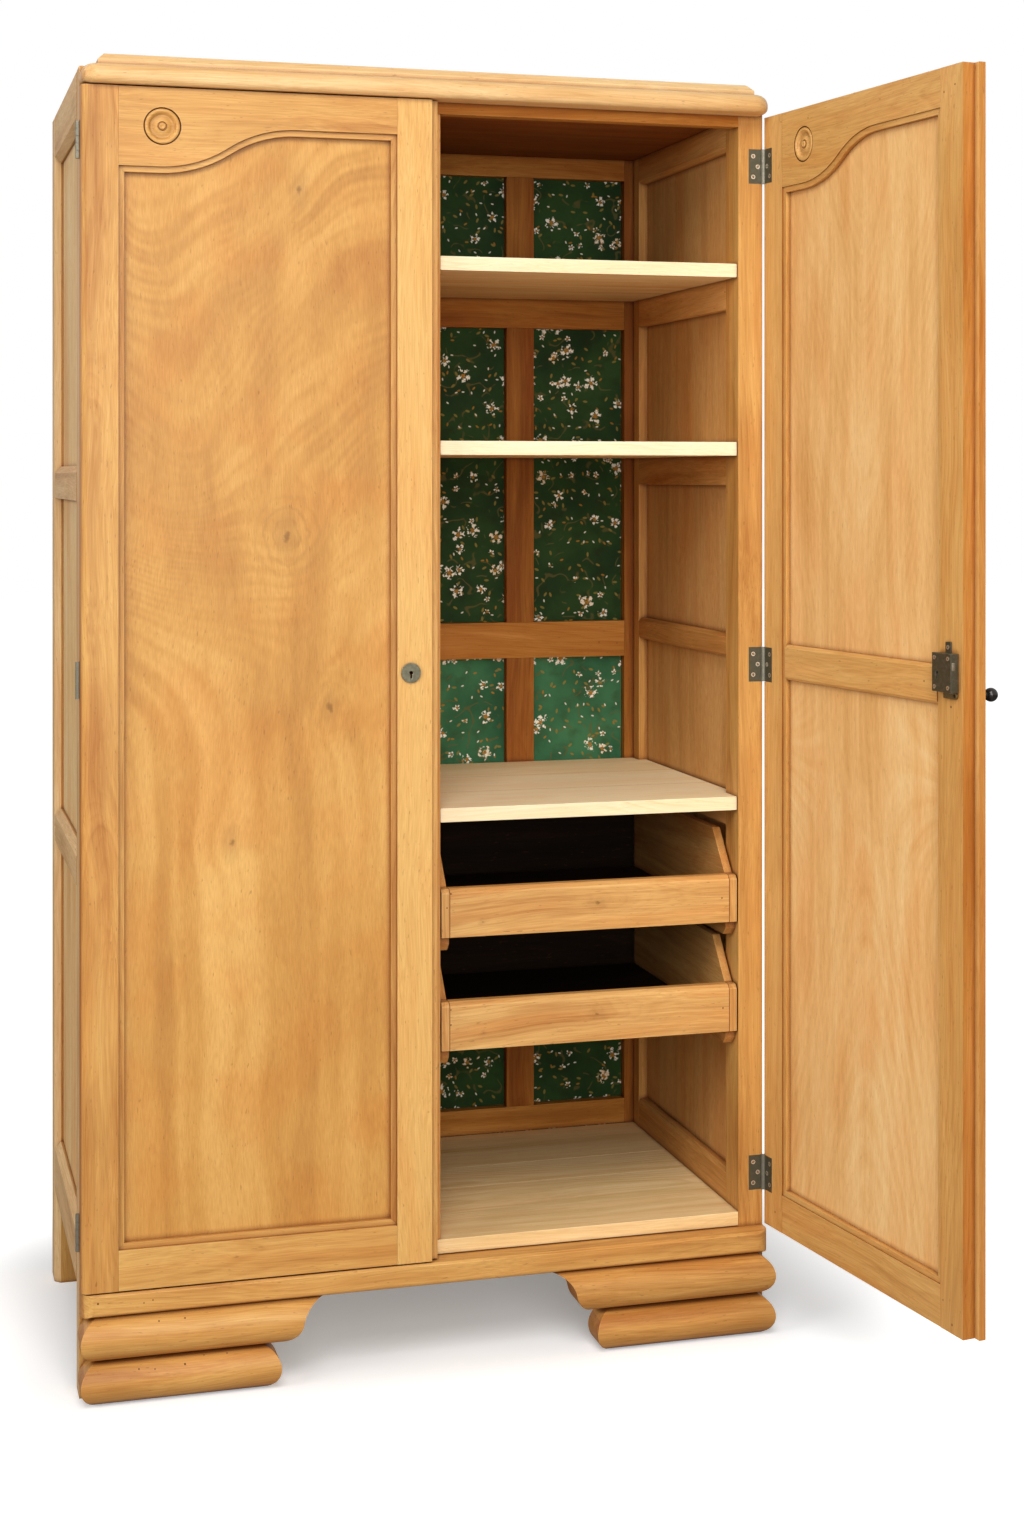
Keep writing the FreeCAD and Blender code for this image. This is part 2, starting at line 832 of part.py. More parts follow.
def build_shelves():
    """Three shelves on bearers, and the runners of the two trays."""
    across = (partition_face + s.shelf_side_gap, post_inner - s.shelf_side_gap)
    heights = (upper_shelf, middle_shelf, s.lower_shelf_height)
    shelves = []
    bearers = []
    left_strip = (partition_face, partition_face + s.bearer_thickness)
    right_strip = (post_inner - s.bearer_thickness, post_inner)
    tongue_across = (partition_face + s.shelf_side_gap, post_inner + s.shelf_tongue)
    tongue_deep = (s.post_depth + s.shelf_side_gap, back_post - s.shelf_side_gap)
    for height, bearer in zip(heights, (s.bearer_height, s.bearer_height, s.low_bearer_height)):
        under = height - s.shelf_thickness
        plank = board(across, (s.shelf_setback, frame_front), (under, height))
        shelves.append(fused(plank, board(tongue_across, tongue_deep, (under, height))))
        up = (under - bearer, under)
        bearers.append(board(left_strip, (s.partition_bearer_setback, frame_front), up))
        bearers.append(board((post_inner, panel_inner), between_posts, up))
    node("shelves", shelves)
    node("shelf_bearers", bearers)
    runners = []
    for low in (s.upper_tray_low, s.lower_tray_low):
        for strip in (left_strip, right_strip):
            runners.append(shaped("x", *strip, [
                (s.bearer_setback + s.runner_height / 2, low - s.runner_height),
                (back_post, low - s.runner_height),
                (back_post, low),
                (s.bearer_setback, low),
                (s.bearer_setback, low - s.runner_height / 2),
            ]))
    node("tray_runners", runners)


def build_tray(name, low):
    """One open tray: a low front, two sides cut down to it, a back and a bottom."""
    left = partition_face + s.tray_side_gap
    right = post_inner - s.tray_side_gap
    start = as_length(s.tray_front_setback)
    behind = start + s.tray_front_thickness
    end = back_post - s.tray_back_gap
    front_high = low + s.tray_front_height
    side_high = low + s.tray_side_height
    front = shaped("x", left, right, [
        (start, low),
        (behind, low),
        (behind, front_high),
        (start + s.tray_front_bevel, front_high),
        (start, front_high - s.tray_front_bevel),
    ])
    node(name + "_front", [front])
    wall = s.tray_side_thickness
    sides = []
    for across in ((left, left + wall), (right - wall, right)):
        sides.append(shaped("x", *across, [
            (behind, low),
            (end, low),
            (end, side_high),
            (behind + s.tray_side_slope, side_high),
            (behind, front_high),
        ]))
    back = board((left + wall, right - wall), (end - wall, end), (low, side_high))
    node(name + "_sides", sides + [back])
    bottom_low = low + s.tray_bottom_lift
    bottom = board((left + wall, right - wall), (behind, end - wall),
                   (bottom_low, bottom_low + s.tray_bottom_thickness))
    node(name + "_bottom", [bottom])


def build_hanging_rail():
    """The tube across the left compartment and the cupped sockets at its ends."""
    middle_y = frame_front / 2
    flange = s.socket_flange_thickness
    start = flange - post_inner
    end = -partition_face - flange
    tube = rod("x", s.rail_radius, end - start, (start, middle_y, hanging_height))
    bore = rod("x", s.rail_radius - s.rail_wall, end - start, (start, middle_y, hanging_height))
    node("hanging_rail", [cut(tube, bore)])
    sockets = []
    for plate_x, cup_x in ((-post_inner, -post_inner), (end, end - s.socket_depth + flange)):
        plate = rod("x", s.rail_radius + s.socket_flange, flange,
                    (plate_x, middle_y, hanging_height))
        cup = rod("x", s.rail_radius + s.socket_wall, s.socket_depth,
                  (cup_x, middle_y, hanging_height))
        sockets.append(cut(fused(plate, cup), tube))
    node("rail_sockets", sockets)


# Doors, both modelled shut and on the right of the middle

def keyhole(middle_x, height):
    """The keyhole, run through plate, stile and lock alike."""
    start = door_outer - s.escutcheon_thickness - s.overrun
    end = door_inner + s.lock_thickness + s.overrun
    half = s.keyhole_slot / 2
    eye = rod("y", s.keyhole_radius, end - start, (middle_x, start, height))
    slot = board((middle_x - half, middle_x + half), (start, end),
                 (height - s.keyhole_drop, height))
    return fused(eye, slot)


def lock_screws(low):
    """Four screws through the case and one through its lug."""
    left = s.lock_from_middle + s.lock_screw_inset
    right = s.lock_from_middle + s.lock_width - s.lock_screw_inset
    bottom = low + s.lock_screw_inset
    top = low + s.lock_height - s.lock_screw_inset
    case_face = door_inner + s.lock_thickness
    lug_face = door_inner + s.lug_thickness
    lug_x = s.lock_from_middle + s.lock_width / 2
    lug_z = low + s.lock_height + s.lug_height / 2
    spots = [(x, case_face, z) for x in (left, right) for z in (bottom, top)]
    spots.append((lug_x, lug_face, lug_z))
    screws = []
    for x, face, z in spots:
        reach = face + s.lock_screw_head_height - door_inner + s.lock_screw_bite
        shank = rod("-y", s.lock_screw_radius, reach, (x, face + s.lock_screw_head_height, z))
        head = rod("y", s.lock_screw_head, s.lock_screw_head_height, (x, face, z))
        screws.append(fused(shank, head))
    return screws


def lock_case(low, screws, hole):
    """The steel case of the lock, with the channel that its bolt slides in."""
    left = s.lock_from_middle
    high = low + s.lock_height
    body = board((left, left + s.lock_width), (door_inner, door_inner + s.lock_thickness),
                 (low, high))
    lug_left = left + (s.lock_width - s.lug_width) / 2
    lug = board((lug_left, lug_left + s.lug_width), (door_inner, door_inner + s.lug_thickness),
                (high, high + s.lug_height))
    end = left + s.bolt_recess + s.bolt_length + s.bolt_recess
    channel = bolt_pocket(low, (left, end))
    return cut(fused(body, lug), channel, hole, *screws)


def lock_bolt(low):
    """The bolt, drawn back into its case."""
    middle = door_inner + s.lock_thickness - s.bolt_thickness
    start = s.lock_from_middle + s.bolt_recess
    height = low + s.bolt_rise
    return board((start, start + s.bolt_length),
                 (middle - s.bolt_thickness / 2, middle + s.bolt_thickness / 2),
                 (height - s.bolt_height / 2, height + s.bolt_height / 2))


def rosette(facing):
    """A turned disc with a dished ring and a small boss, let into the top rail."""
    axis = "-y" if facing > 0 else "y"
    plain = door_inner if facing > 0 else door_outer
    sign = 1 if facing > 0 else -1
    x = side - s.rosette_from_edge
    z = door_top - s.rosette_from_top
    face = plain + s.rosette_proud * sign
    disc = rod(axis, s.rosette_radius, s.rosette_depth, (x, face, z))
    dish = ring(axis, s.rosette_dish, s.rosette_dish_round,
                (x, face + s.rosette_dish_lift * sign, z))
    boss = rod(axis, s.rosette_boss, s.rosette_boss_height + s.rosette_depth / 2,
               (x, face + s.rosette_boss_height * sign, z))
    recess = rod(axis, s.rosette_radius + s.rosette_gap, s.rosette_depth, (x, face, z))
    return fused(cut(disc, dish), boss), recess


def wave(inset):
    """Start, middle and end of the waved edge of the top rail, and its two radii."""
    start_x = side - s.wave_start - s.wave_length
    end_x = side - s.wave_start
    high = door_top - s.top_rail_depth
    half_long = s.wave_length / 2
    half_drop = s.wave_drop / 2
    radius = (s.wave_length * s.wave_length + s.wave_drop * s.wave_drop) / (s.wave_drop * 4)
    middle = (
        start_x + half_long - inset * half_long / radius,
        high - half_drop - inset * (radius - half_drop) / radius,
    )
    return {
        "start": (start_x, high - inset),
        "middle": middle,
        "end": (end_x, high - s.wave_drop - inset),
        "near": radius - inset,
        "far": radius + inset,
    }


def bead_strips(edge, deep):
    """Four mitred strips round the panel, the top one waved."""
    inner = side - s.hinge_stile_width
    low = s.door_low + s.bottom_rail_height
    width = s.bead_width
    outer_wave = wave(as_length(0))
    inner_wave = wave(width)
    high = outer_wave["start"][1]
    shoulder = outer_wave["end"][1]
    bottom = [(edge, low), (inner, low), (inner - width, low + width), (edge + width, low + width)]
    hinge_side = [
        (inner, low),
        (inner, shoulder),
        (inner - width, shoulder - width),
        (inner - width, low + width),
    ]
    meeting_side = [
        (edge, low),
        (edge + width, low + width),
        (edge + width, high - width),
        (edge, high),
    ]
    top = [
        (edge, high),
        (edge + width, high - width),
        (*inner_wave["start"], -inner_wave["near"]),
        (*inner_wave["middle"], inner_wave["far"]),
        inner_wave["end"],
        (inner - width, shoulder - width),
        (inner, shoulder),
        (*outer_wave["end"], -outer_wave["far"]),
        (*outer_wave["middle"], outer_wave["near"]),
        outer_wave["start"],
    ]
    return [shaped("y", *deep, points) for points in (bottom, hinge_side, meeting_side, top)]


def door_woodwork(meeting_edge, strip):
    """Stiles, rails, panel and beads of one door, before its hardware is let in."""
    inner = side - s.hinge_stile_width
    edge = meeting_edge + s.meeting_stile_width
    deep = (door_outer, door_inner)
    up = (s.door_low, door_top)
    panel_low = s.door_low + s.bottom_rail_height
    panel_front = door_outer + s.panel_recess
    panel_back = panel_front + s.panel_thickness
    curve = wave(as_length(0))
    corner = s.door_edge_round
    hinge_stile = shaped("z", *up, [
        (inner, door_outer),
        (side - corner, door_outer, corner),
        (side, door_outer + corner),
        (side, door_inner),
        (inner, door_inner),
    ])
    top_rail = shaped("y", *deep, [
        (edge, curve["start"][1]),
        (*curve["start"], -curve["near"]),
        (*curve["middle"], curve["far"]),
        curve["end"],
        (inner, curve["end"][1]),
        (inner, door_top),
        (edge, door_top),
    ])
    panel = shaped("y", panel_front, panel_back, [
        (edge, panel_low),
        (inner, panel_low),
        (inner, curve["end"][1]),
        (*curve["end"], -curve["far"]),
        (*curve["middle"], curve["near"]),
        curve["start"],
        (edge, curve["start"][1]),
    ])
    bevel = s.cross_rail_bevel
    cross_high = s.cross_rail_low + s.cross_rail_height
    cross_rail = shaped("x", edge + s.bead_width, inner - s.bead_width, [
        (panel_back, s.cross_rail_low),
        (door_inner - bevel, s.cross_rail_low),
        (door_inner, s.cross_rail_low + bevel),
        (door_inner, cross_high - bevel),
        (door_inner - bevel, cross_high),
        (panel_back, cross_high),
    ])
    front_beads = bead_strips(edge, (door_outer + s.front_bead_setback, panel_front))
    rear_beads = bead_strips(edge, (panel_back, door_inner - s.rear_bead_setback))
    return {
        "hinge_stile": hinge_stile,
        "meeting_stile": board((meeting_edge, edge), deep, up),
        "strip": board(*strip, up),
        "top_rail": top_rail,
        "bottom_rail": board((edge, inner), deep, (s.door_low, panel_low)),
        "panel": panel,
        "cross_rail": cross_rail,
        "beads": front_beads + rear_beads,
    }


def build_door(name, meeting_edge, strip, lock_low, spindle_hole, copied, frame):
    """One door with its hinge leaves, lock, plate and screws, as nodes."""
    wood = door_woodwork(meeting_edge, strip)
    keyhole_x = s.lock_from_middle + s.keyhole_from_edge
    keyhole_z = lock_low + s.keyhole_rise
    hole = keyhole(keyhole_x, keyhole_z)
    screws = lock_screws(lock_low)
    outer_rosette, outer_recess = rosette(-1)
    inner_rosette, inner_recess = rosette(1)
    plate = rod("y", s.escutcheon_radius, s.escutcheon_thickness,
                (keyhole_x, door_outer - s.escutcheon_thickness, keyhole_z))
    groups = {
        "stiles": [
            cut(wood["hinge_stile"], *hinges["door_cuts"]),
            cut(wood["meeting_stile"], hole, *screws, *spindle_hole),
            wood["strip"],
        ],
        "top_rail": [cut(wood["top_rail"], outer_recess, inner_recess)],
        "bottom_rail": [wood["bottom_rail"]],
        "cross_rail": [wood["cross_rail"]],
        "panel": [wood["panel"]],
        "beads": wood["beads"],
        "rosettes": [outer_rosette, inner_rosette],
        "hinge_leaves": hinges["door_leaves"],
        "screws": hinges["door_screws"] + screws,
        "lock_case": [lock_case(lock_low, screws, hole)],
        "escutcheon": [cut(plate, hole)],
    }
    for group, pieces in groups.items():
        if copied:
            pieces = [mirrored(piece) for piece in pieces]
        node(name + "_" + group, pieces, frame)
    bolt = lock_bolt(lock_low)
    node(name.replace("door", "lock_bolt"), [mirrored(bolt) if copied else bolt], frame)


def build_doors():
    """The left door, shut, and the right door, standing open on its hinges."""
    left_edge = s.meeting_gap + s.overlap_width
    tongue = (
        (s.meeting_gap, left_edge),
        (door_outer + s.overlap_thickness + s.overlap_gap, door_inner),
    )
    build_door("left_door", left_edge, tongue, s.left_lock_low, (), True, FreeCAD.Placement())
    opened = FreeCAD.Placement(
        FreeCAD.Vector(),
        FreeCAD.Rotation(FreeCAD.Vector(0, 0, 1), OPEN_DEGREES),
        FreeCAD.Vector(barrel_x.value, barrel_y.value, 0),
    )
    lip = (
        (s.meeting_gap - s.overlap_width, s.meeting_gap),
        (door_outer, door_outer + s.overlap_thickness),
    )
    x = s.meeting_gap + s.knob_from_edge
    z = knob_height
    hole = rod("y", s.spindle_radius + s.spindle_clearance, s.door_thickness, (x, door_outer, z))
    build_door("right_door", s.meeting_gap, lip, s.right_lock_low, (hole,), False, opened)
    neck_end = door_outer - s.catch_gap
    ball_y = neck_end - s.knob_neck_length - s.knob_radius
    tip = door_inner + s.catch_gap + s.catch_thickness
    knob = fused(
        ball(s.knob_radius, (x, ball_y, z)),
        rod("y", s.knob_neck_radius, neck_end - ball_y, (x, ball_y, z)),
        rod("y", s.spindle_radius, tip - ball_y, (x, ball_y, z)),
    )
    node("turn_knob", [knob], opened)
    catch_deep = (door_inner + s.catch_gap, tip)
    arm = board((x, x + s.catch_length), catch_deep, (z - s.catch_radius, z + s.catch_radius))
    hub = rod("y", s.catch_radius, s.catch_thickness, (x, catch_deep[0], z))
    seat = rod("y", s.spindle_radius, s.catch_thickness, (x, catch_deep[0], z))
    node("turn_catch", [cut(fused(arm, hub), seat)], opened)


def build_hinge_nodes():
    """The leaves, pins and screws that stay on the carcass."""
    for label, group in (
        ("carcass_hinge_leaves", "carcass_leaves"),
        ("hinge_pins", "pins"),
        ("carcass_hinge_screws", "carcass_screws"),
    ):
        pieces = hinges[group]
        node(label, pieces + [mirrored(piece) for piece in pieces])


def check_document():
    """Stops where an object failed or a node is empty or not valid."""
    for item in document.Objects:
        if "Invalid" in item.State or "Error" in item.State:
            raise RuntimeError(item.Label + " failed: " + str(item.State))
    for item in nodes:
        if item.Shape.isNull() or not item.Shape.isValid():
            raise RuntimeError(item.Label + " has no valid shape")
        if len(item.Shape.Solids) != len(item.Links):
            raise RuntimeError(item.Label + " has lost or split a solid")


def settle_origin():
    """Moves every node, so that the origin lies under the middle of them all."""
    box = FreeCAD.BoundBox()
    for item in nodes:
        box.add(item.Shape.BoundBox)
    shift = FreeCAD.Vector(-box.Center.x, -box.Center.y, -box.ZMin)
    for item in nodes:
        item.Placement = FreeCAD.Placement(shift, FreeCAD.Rotation()).multiply(item.Placement)
    document.recompute()
    return shift


def main():
    """Builds the wardrobe, checks it and writes one file for each node."""
    build_side_frames()
    build_inner_side_rails()
    build_top()
    build_floor()
    build_partition()
    build_back()
    build_base()
    build_shelves()
    build_tray("upper_tray", s.upper_tray_low)
    build_tray("lower_tray", s.lower_tray_low)
    build_hanging_rail()
    build_hinge_nodes()
    build_doors()
    document.recompute()
    check_document()
    shift = settle_origin()
    check_document()
    os.makedirs("parts", exist_ok=True)
    for item in nodes:
        item.Shape.exportStep("parts/" + item.Label + ".step")
    print("Nodes:", len(nodes), "origin moved by", shift)
    return shift


origin_shift = main()
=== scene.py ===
"""Looks of a two-door linen wardrobe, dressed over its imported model.

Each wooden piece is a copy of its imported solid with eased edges. Every board carries its own grain
coordinates, so that the figure runs along the board and differs from its neighbour's.
"""

import json
import logging
import math
import random
from dataclasses import dataclass, field
from enum import Enum
from typing import NamedTuple

import bmesh
import bpy
from mathutils import Matrix, Vector


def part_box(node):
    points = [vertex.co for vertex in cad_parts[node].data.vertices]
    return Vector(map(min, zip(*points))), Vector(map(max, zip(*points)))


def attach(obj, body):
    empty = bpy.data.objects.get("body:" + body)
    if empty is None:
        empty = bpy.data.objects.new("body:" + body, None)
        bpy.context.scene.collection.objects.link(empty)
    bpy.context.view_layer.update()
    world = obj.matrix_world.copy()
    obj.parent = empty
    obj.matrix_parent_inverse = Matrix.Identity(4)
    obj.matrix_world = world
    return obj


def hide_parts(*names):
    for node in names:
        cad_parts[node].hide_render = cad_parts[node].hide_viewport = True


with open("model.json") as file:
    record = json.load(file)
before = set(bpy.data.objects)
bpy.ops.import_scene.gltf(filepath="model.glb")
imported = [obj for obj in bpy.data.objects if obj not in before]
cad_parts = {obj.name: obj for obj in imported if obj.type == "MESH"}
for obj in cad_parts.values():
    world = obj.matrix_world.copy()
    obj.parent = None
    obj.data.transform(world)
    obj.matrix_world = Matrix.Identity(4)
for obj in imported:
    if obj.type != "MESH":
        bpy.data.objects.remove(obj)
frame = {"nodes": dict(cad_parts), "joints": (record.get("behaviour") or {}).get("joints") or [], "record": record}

log = logging.getLogger("wardrobe")
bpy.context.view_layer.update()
CARCASS_MIDDLE = sum(corner[0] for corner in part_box("centre_partition")) / 2
MM = 0.001
PER_METRE = 1000.0
Place = tuple[float, float, float]
WHITE = (1.0, 1.0, 1.0, 1.0)
# What a random number from 0 to 1 is counted as for any angle
FULL_TURN = 6.3
PHOTO_WIDTH = 1024
PHOTO_HEIGHT = 1536
# The property that an option after the dot in a node's kind sets
MAIN_OPTIONS = {
    "Attribute": "attribute_name", "MapRange": "interpolation_type", "Math": "operation", "Mix": "blend_type",
    "TexVoronoi": "voronoi_dimensions", "VectorMath": "operation", "VectorRotate": "rotation_type",
}


# Colours and nodes


def hex_colour(code: str) -> tuple[float, float, float, float]:
    """Turns an sRGB hex code into a linear colour.

    Args:
        code: Six hex digits with or without a leading hash.

    Returns:
        Linear red, green and blue with an alpha of 1.
    """
    digits = code.lstrip("#")
    channels = [int(digits[i:i + 2], 16) / 255 for i in (0, 2, 4)]
    linear = [c / 12.92 if c <= 0.04045 else ((c + 0.055) / 1.055) ** 2.4 for c in channels]
    return linear[0], linear[1], linear[2], 1.0


@dataclass(frozen=True)
class Wire:
    """One output of a shader node. It can be reckoned with like a number."""

    socket: bpy.types.NodeSocket

    def __getitem__(self, name: str) -> "Wire":
        """Gives another output of the same node."""
        return Wire(self.socket.node.outputs[name])

    def __add__(self, other: "Wire | float") -> "Wire":
        """Adds something."""
        return self.to("Math.ADD", other)

    def __sub__(self, other: "Wire | float") -> "Wire":
        """Takes something away."""
        return self.to("Math.SUBTRACT", other)

    def __mul__(self, other: "Wire | float") -> "Wire":
        """Multiplies by something."""
        return self.to("Math.MULTIPLY", other)

    def __truediv__(self, other: "Wire | float") -> "Wire":
        """Divides by something."""
        return self.to("Math.DIVIDE", other)

    def to(self, kind: str, *values: object, **named: object) -> "Wire":
        """Leads this output, and further values after it, into a new node, as add does."""
        return add(self.socket.id_data, kind, self, *values, **named)


def add(tree: bpy.types.NodeTree, kind: str, *values: object, **named: object) -> Wire | None:
    """Adds one shader node.

    Args:
        tree: The node tree.
        kind: The node's type without ShaderNode, then after a dot its main option if it has one.
        values: Wires, constants or hex colours for the inputs in use, in their order.
        named: The same for inputs by name, with underscores for spaces, and in small letters the node's own
            properties. The name stops fills a colour ramp.

    Returns:
        The first output in use, or nothing for a node without outputs.
    """
    kind, _, option = kind.partition(".")
    node = tree.nodes.new("ShaderNode" + kind)
    if kind == "Mix":
        node.data_type = "RGBA"
    if option:
        setattr(node, MAIN_OPTIONS[kind], option)
    by_name = []
    for name, value in named.items():
        if name == "stops":
            ramp = node.color_ramp.elements
            while len(ramp) < len(value):
                ramp.new(0.5)
            for element, (place, colour) in zip(ramp, value):
                element.position = place
                element.color = hex_colour(colour) if isinstance(colour, str) else colour
        elif name[0].islower():
            setattr(node, name, value)
        else:
            by_name.append((node.inputs[name.replace("_", " ")], value))
    for socket, value in [*zip([s for s in node.inputs if s.enabled], values), *by_name]:
        if isinstance(value, Wire):
            tree.links.new(value.socket, socket)
        else:
            socket.default_value = hex_colour(value) if isinstance(value, str) else value
    return next((Wire(output) for output in node.outputs if output.enabled), None)


def cleared(owner: bpy.types.Material | bpy.types.World) -> bpy.types.NodeTree:
    """Gives a material or a world an empty node tree."""
    owner.use_nodes = True
    owner.node_tree.nodes.clear()
    return owner.node_tree


def noise(place: Wire, across_mm: float, along_mm: float, detail: float = 2.0) -> Wire:
    """Gives a noise whose patches have a real size.

    Args:
        place: Coordinates in metres, the grain along the third.
        across_mm: Size of a patch across the grain.
        along_mm: Its size along the grain.
        detail: How many finer layers it has.

    Returns:
        The noise, about 0.5 in the mean.
    """
    scale = (PER_METRE / across_mm, PER_METRE / across_mm, PER_METRE / along_mm)
    return place.to("Mapping", Scale=scale).to("TexNoise", 1.0, detail)


def shaken(place: Wire, source: Wire, scale: float, detail: float, reach: Place) -> Wire:
    """Shakes a place to and fro.

    Args:
        place: What is shaken.
        source: Where the noise that shakes it is read.
        scale: The scale of that noise.
        detail: How many finer layers it has.
        reach: How wide it shakes along each axis.

    Returns:
        The shaken place.
    """
    centred = source.to("TexNoise", scale, detail)["Color"].to("VectorMath.SUBTRACT", (0.5, 0.5, 0.5))
    return place.to("VectorMath.ADD", centred.to("VectorMath.MULTIPLY", reach))


def ragged(place: Wire) -> Wire:
    """Shakes a place by up to about 4 mm, so that what is round grows crooked."""
    return shaken(place, place, 70.0, 3.0, (16.0 * MM,) * 3)


def lifted(shade: Wire, part: Wire, strength: Wire | float) -> Wire:
    """Adds a part, centred on nought, to a shade."""
    return (part - 0.5) * strength + shade


# Finishes


@dataclass(frozen=True)
class Finish:
    """What a surface is made of."""

    name: str

    def material(self) -> bpy.types.Material:
        """Builds the node material of this finish."""
        made = bpy.data.materials.new(self.name)
        self.surface(cleared(made)).to("OutputMaterial")
        return made

    def surface(self, tree: bpy.types.NodeTree) -> Wire:
        """Builds the nodes and gives the finished shader."""
        raise NotImplementedError


class Knot(NamedTuple):
    """A knot at x, z in millimetres from the board's middle, its size and how many rings it has."""

    x: float
    z: float
    size: float
    rings: float = 0.0

    def reach(self, place: Wire, long: float) -> Wire:
        """Gives the distance from the knot, counted times long along the grain."""
        offset = (-self.x * MM, 0.0, -self.z * MM * long)
        return place.to("Mapping", Location=offset, Scale=(1.0, 0.0, long)).to("VectorMath.LENGTH")

    def fade(self, reach: Wire, sizes: float, strength: float, curve: str = "SMOOTHSTEP") -> Wire:
        """Gives a strength at the knot that is gone after so many of its sizes."""
        return reach.to("MapRange." + curve, 0.0, self.size * sizes * MM, strength, 0.0)


@dataclass(frozen=True)
class Timber(Finish):
    """Solid planed timber, rubbed back and waxed, with its grain along each board.

    The eye sees long soft colour streaks, some of them warmer, faint growth arches, fine fibres, a few short
    dark flecks, old wax gone brown in the joint lines, painted shade in inner corners and painted highlights on
    the eased edges.
    """

    pale: str
    middle: str
    dark: str
    streak_mm: float = 22.0
    streak_length_mm: float = 700.0
    streak_strength: float = 0.7
    cloud_mm: float = 85.0
    cloud_strength: float = 0.5
    arch_mm: float = 55.0
    arch_spread_mm: float = 30.0
    arch_strength: float = 0.2
    layers: tuple[tuple[float, float], ...] = ((1.0, 1.0), (3.6, 0.45))
    # Place in a growth ring and how pale it is there
    ring_greys: tuple[tuple[float, float], ...] = ((0.0, 0.8), (0.5, 0.62), (0.82, 0.12), (1.0, 0.8))
    ring_drift: float = 2.6
    depth_rings: float = 110.0
    height_rings: float = 0.35
    warm: str = "#F4B86C"
    warmth: float = 0.3
    fibre: str = "#C4965C"
    fibre_strength: float = 0.2
    fibre_length_mm: float = 60.0
    fleck_strength: float = 0.35
    knots: tuple[Knot, ...] = ()
    knot_rings: tuple[tuple[float, float, float], ...] = ((0.1, 1.0, 0.62), (0.5, 3.2, 0.2))
    dirt: str = "#5E3210"
    end: str = "#B8835A"
    end_strength: float = 0.4
    # How much paler the eased edges are painted, as a highlight
    worn_lift: float = 0.12
    # Colour that darkens the joint lines and paints the shade in inner corners, how far that painted shade reaches
    # and how strong it is
    grime: str = "#80481A"
    grime_reach_mm: float = 8.0
    dirt_strength: float = 0.85
    shine: float = 0.3
    roughness: float = 0.44
    bump: float = 0.15

    def surface(self, tree: bpy.types.NodeTree) -> Wire:
        """Lays the figure, the fibres, the marks, the old wax in the joints, painted corner shade and painted edge
        highlights over each other.
        """
        grain = add(tree, "Attribute.grain")["Vector"]
        tone, end, worn, seam = (
            add(tree, "Attribute." + name)["Fac"] for name in ("tone", "end_grain", "worn", "seam"))
        wandering = self.wander(grain)
        # Eased edges are lifted paler: a painted highlight where rounded edges catch the light.
        colour = (worn * self.worn_lift + self.figure(wandering, tone)).to("ValToRGB", stops=(
            (0.2, self.dark), (0.5, self.middle), (0.8, self.pale)))
        warmer = noise(wandering, self.streak_mm * 1.7, self.streak_length_mm * 0.5)
        fibre, fleck = self.fibres(wandering)
        spots = self.marks(grain, fleck)
        # Painted shade darkens the inner corners, found by ambient occlusion; old wax darkens the joint lines.
        near = add(tree, "AmbientOcclusion", samples=5, Distance=self.grime_reach_mm * MM)["AO"]
        joints_and_corner_shade = near.to("MapRange", 0.35, 0.92, self.dirt_strength, 0.0).to("Math.MAXIMUM", seam)
        for share, blend, code in (
                (warmer.to("MapRange", 0.46, 0.66, 0.0, self.warmth), "MULTIPLY", self.warm),
                (fibre.to("MapRange", 0.3, 0.7, self.fibre_strength * 1.8, 0.0), "MULTIPLY", self.fibre),
                (spots, "MIX", self.dirt),
                (end * self.end_strength, "MULTIPLY", self.end),
                (joints_and_corner_shade, "MULTIPLY", self.grime)):
            colour = share.to("Mix." + blend, colour, code)
        rough = fibre.to("MapRange", 0.2, 0.8, self.roughness + 0.06, self.roughness - 0.05)
        normal = add(tree, "Bump", Strength=self.bump, Distance=0.2 * MM, Height=fibre - spots)
        return colour.to("BsdfPrincipled", Roughness=rough, Normal=normal, Specular_IOR_Level=self.shine)

    def wander(self, grain: Wire) -> Wire:
        """Lets the grain drift sideways along a board, as it does in a sawn plank."""
        return shaken(grain, grain.to("Mapping", Scale=(5.0, 5.0, 1.6)), 1.0, 2.0, (0.07, 0.07, 0.0))

    def figure(self, wandering: Wire, tone: Wire) -> Wire:
        """Mixes streaks, clouds and growth lines into one shade from 0, dark, to 1, pale."""
        shade = tone
        for across, along, detail, strength in (
                (self.streak_mm, self.streak_length_mm, 3.0, self.streak_strength),
                (self.streak_mm / 4, self.streak_length_mm / 2, 2.0, self.streak_strength * 0.5),
                (self.cloud_mm, self.cloud_mm * 3, 3.0, self.cloud_strength)):
            shade = lifted(shade, noise(wandering, across, along, detail), strength)
        count = self.growth(wandering)
        for finer, share in self.layers:
            strength = self.arch_strength * share
            fade = noise(wandering, 130.0 / finer, 300.0 / finer)
            fade = fade.to("MapRange", 0.42, 0.66, 0.1 * strength, strength)
            shade = lifted(shade, self.band(count * finer), fade)
        return shade

    def band(self, count: Wire) -> Wire:
        """Gives one growth ring per whole number: pale early wood that darkens to a sharp late edge."""
        stops = [(place, (grey, grey, grey, 1.0)) for place, grey in self.ring_greys]
        return count.to("Math.FRACT").to("ValToRGB", stops=stops)

    def growth(self, wandering: Wire) -> Wire:
        """Counts growth bands: nested arches down the middle of a plank, lines along its edges."""
        parts = wandering.to("SeparateXYZ")
        aside = (parts["X"] / (self.arch_spread_mm * MM)).to("Math.POWER", 2.0)
        upward = parts["Z"] * (PER_METRE / self.arch_mm * self.height_rings) + aside
        return noise(wandering, 60.0, 260.0) * self.ring_drift + (parts["Y"] * self.depth_rings + upward)

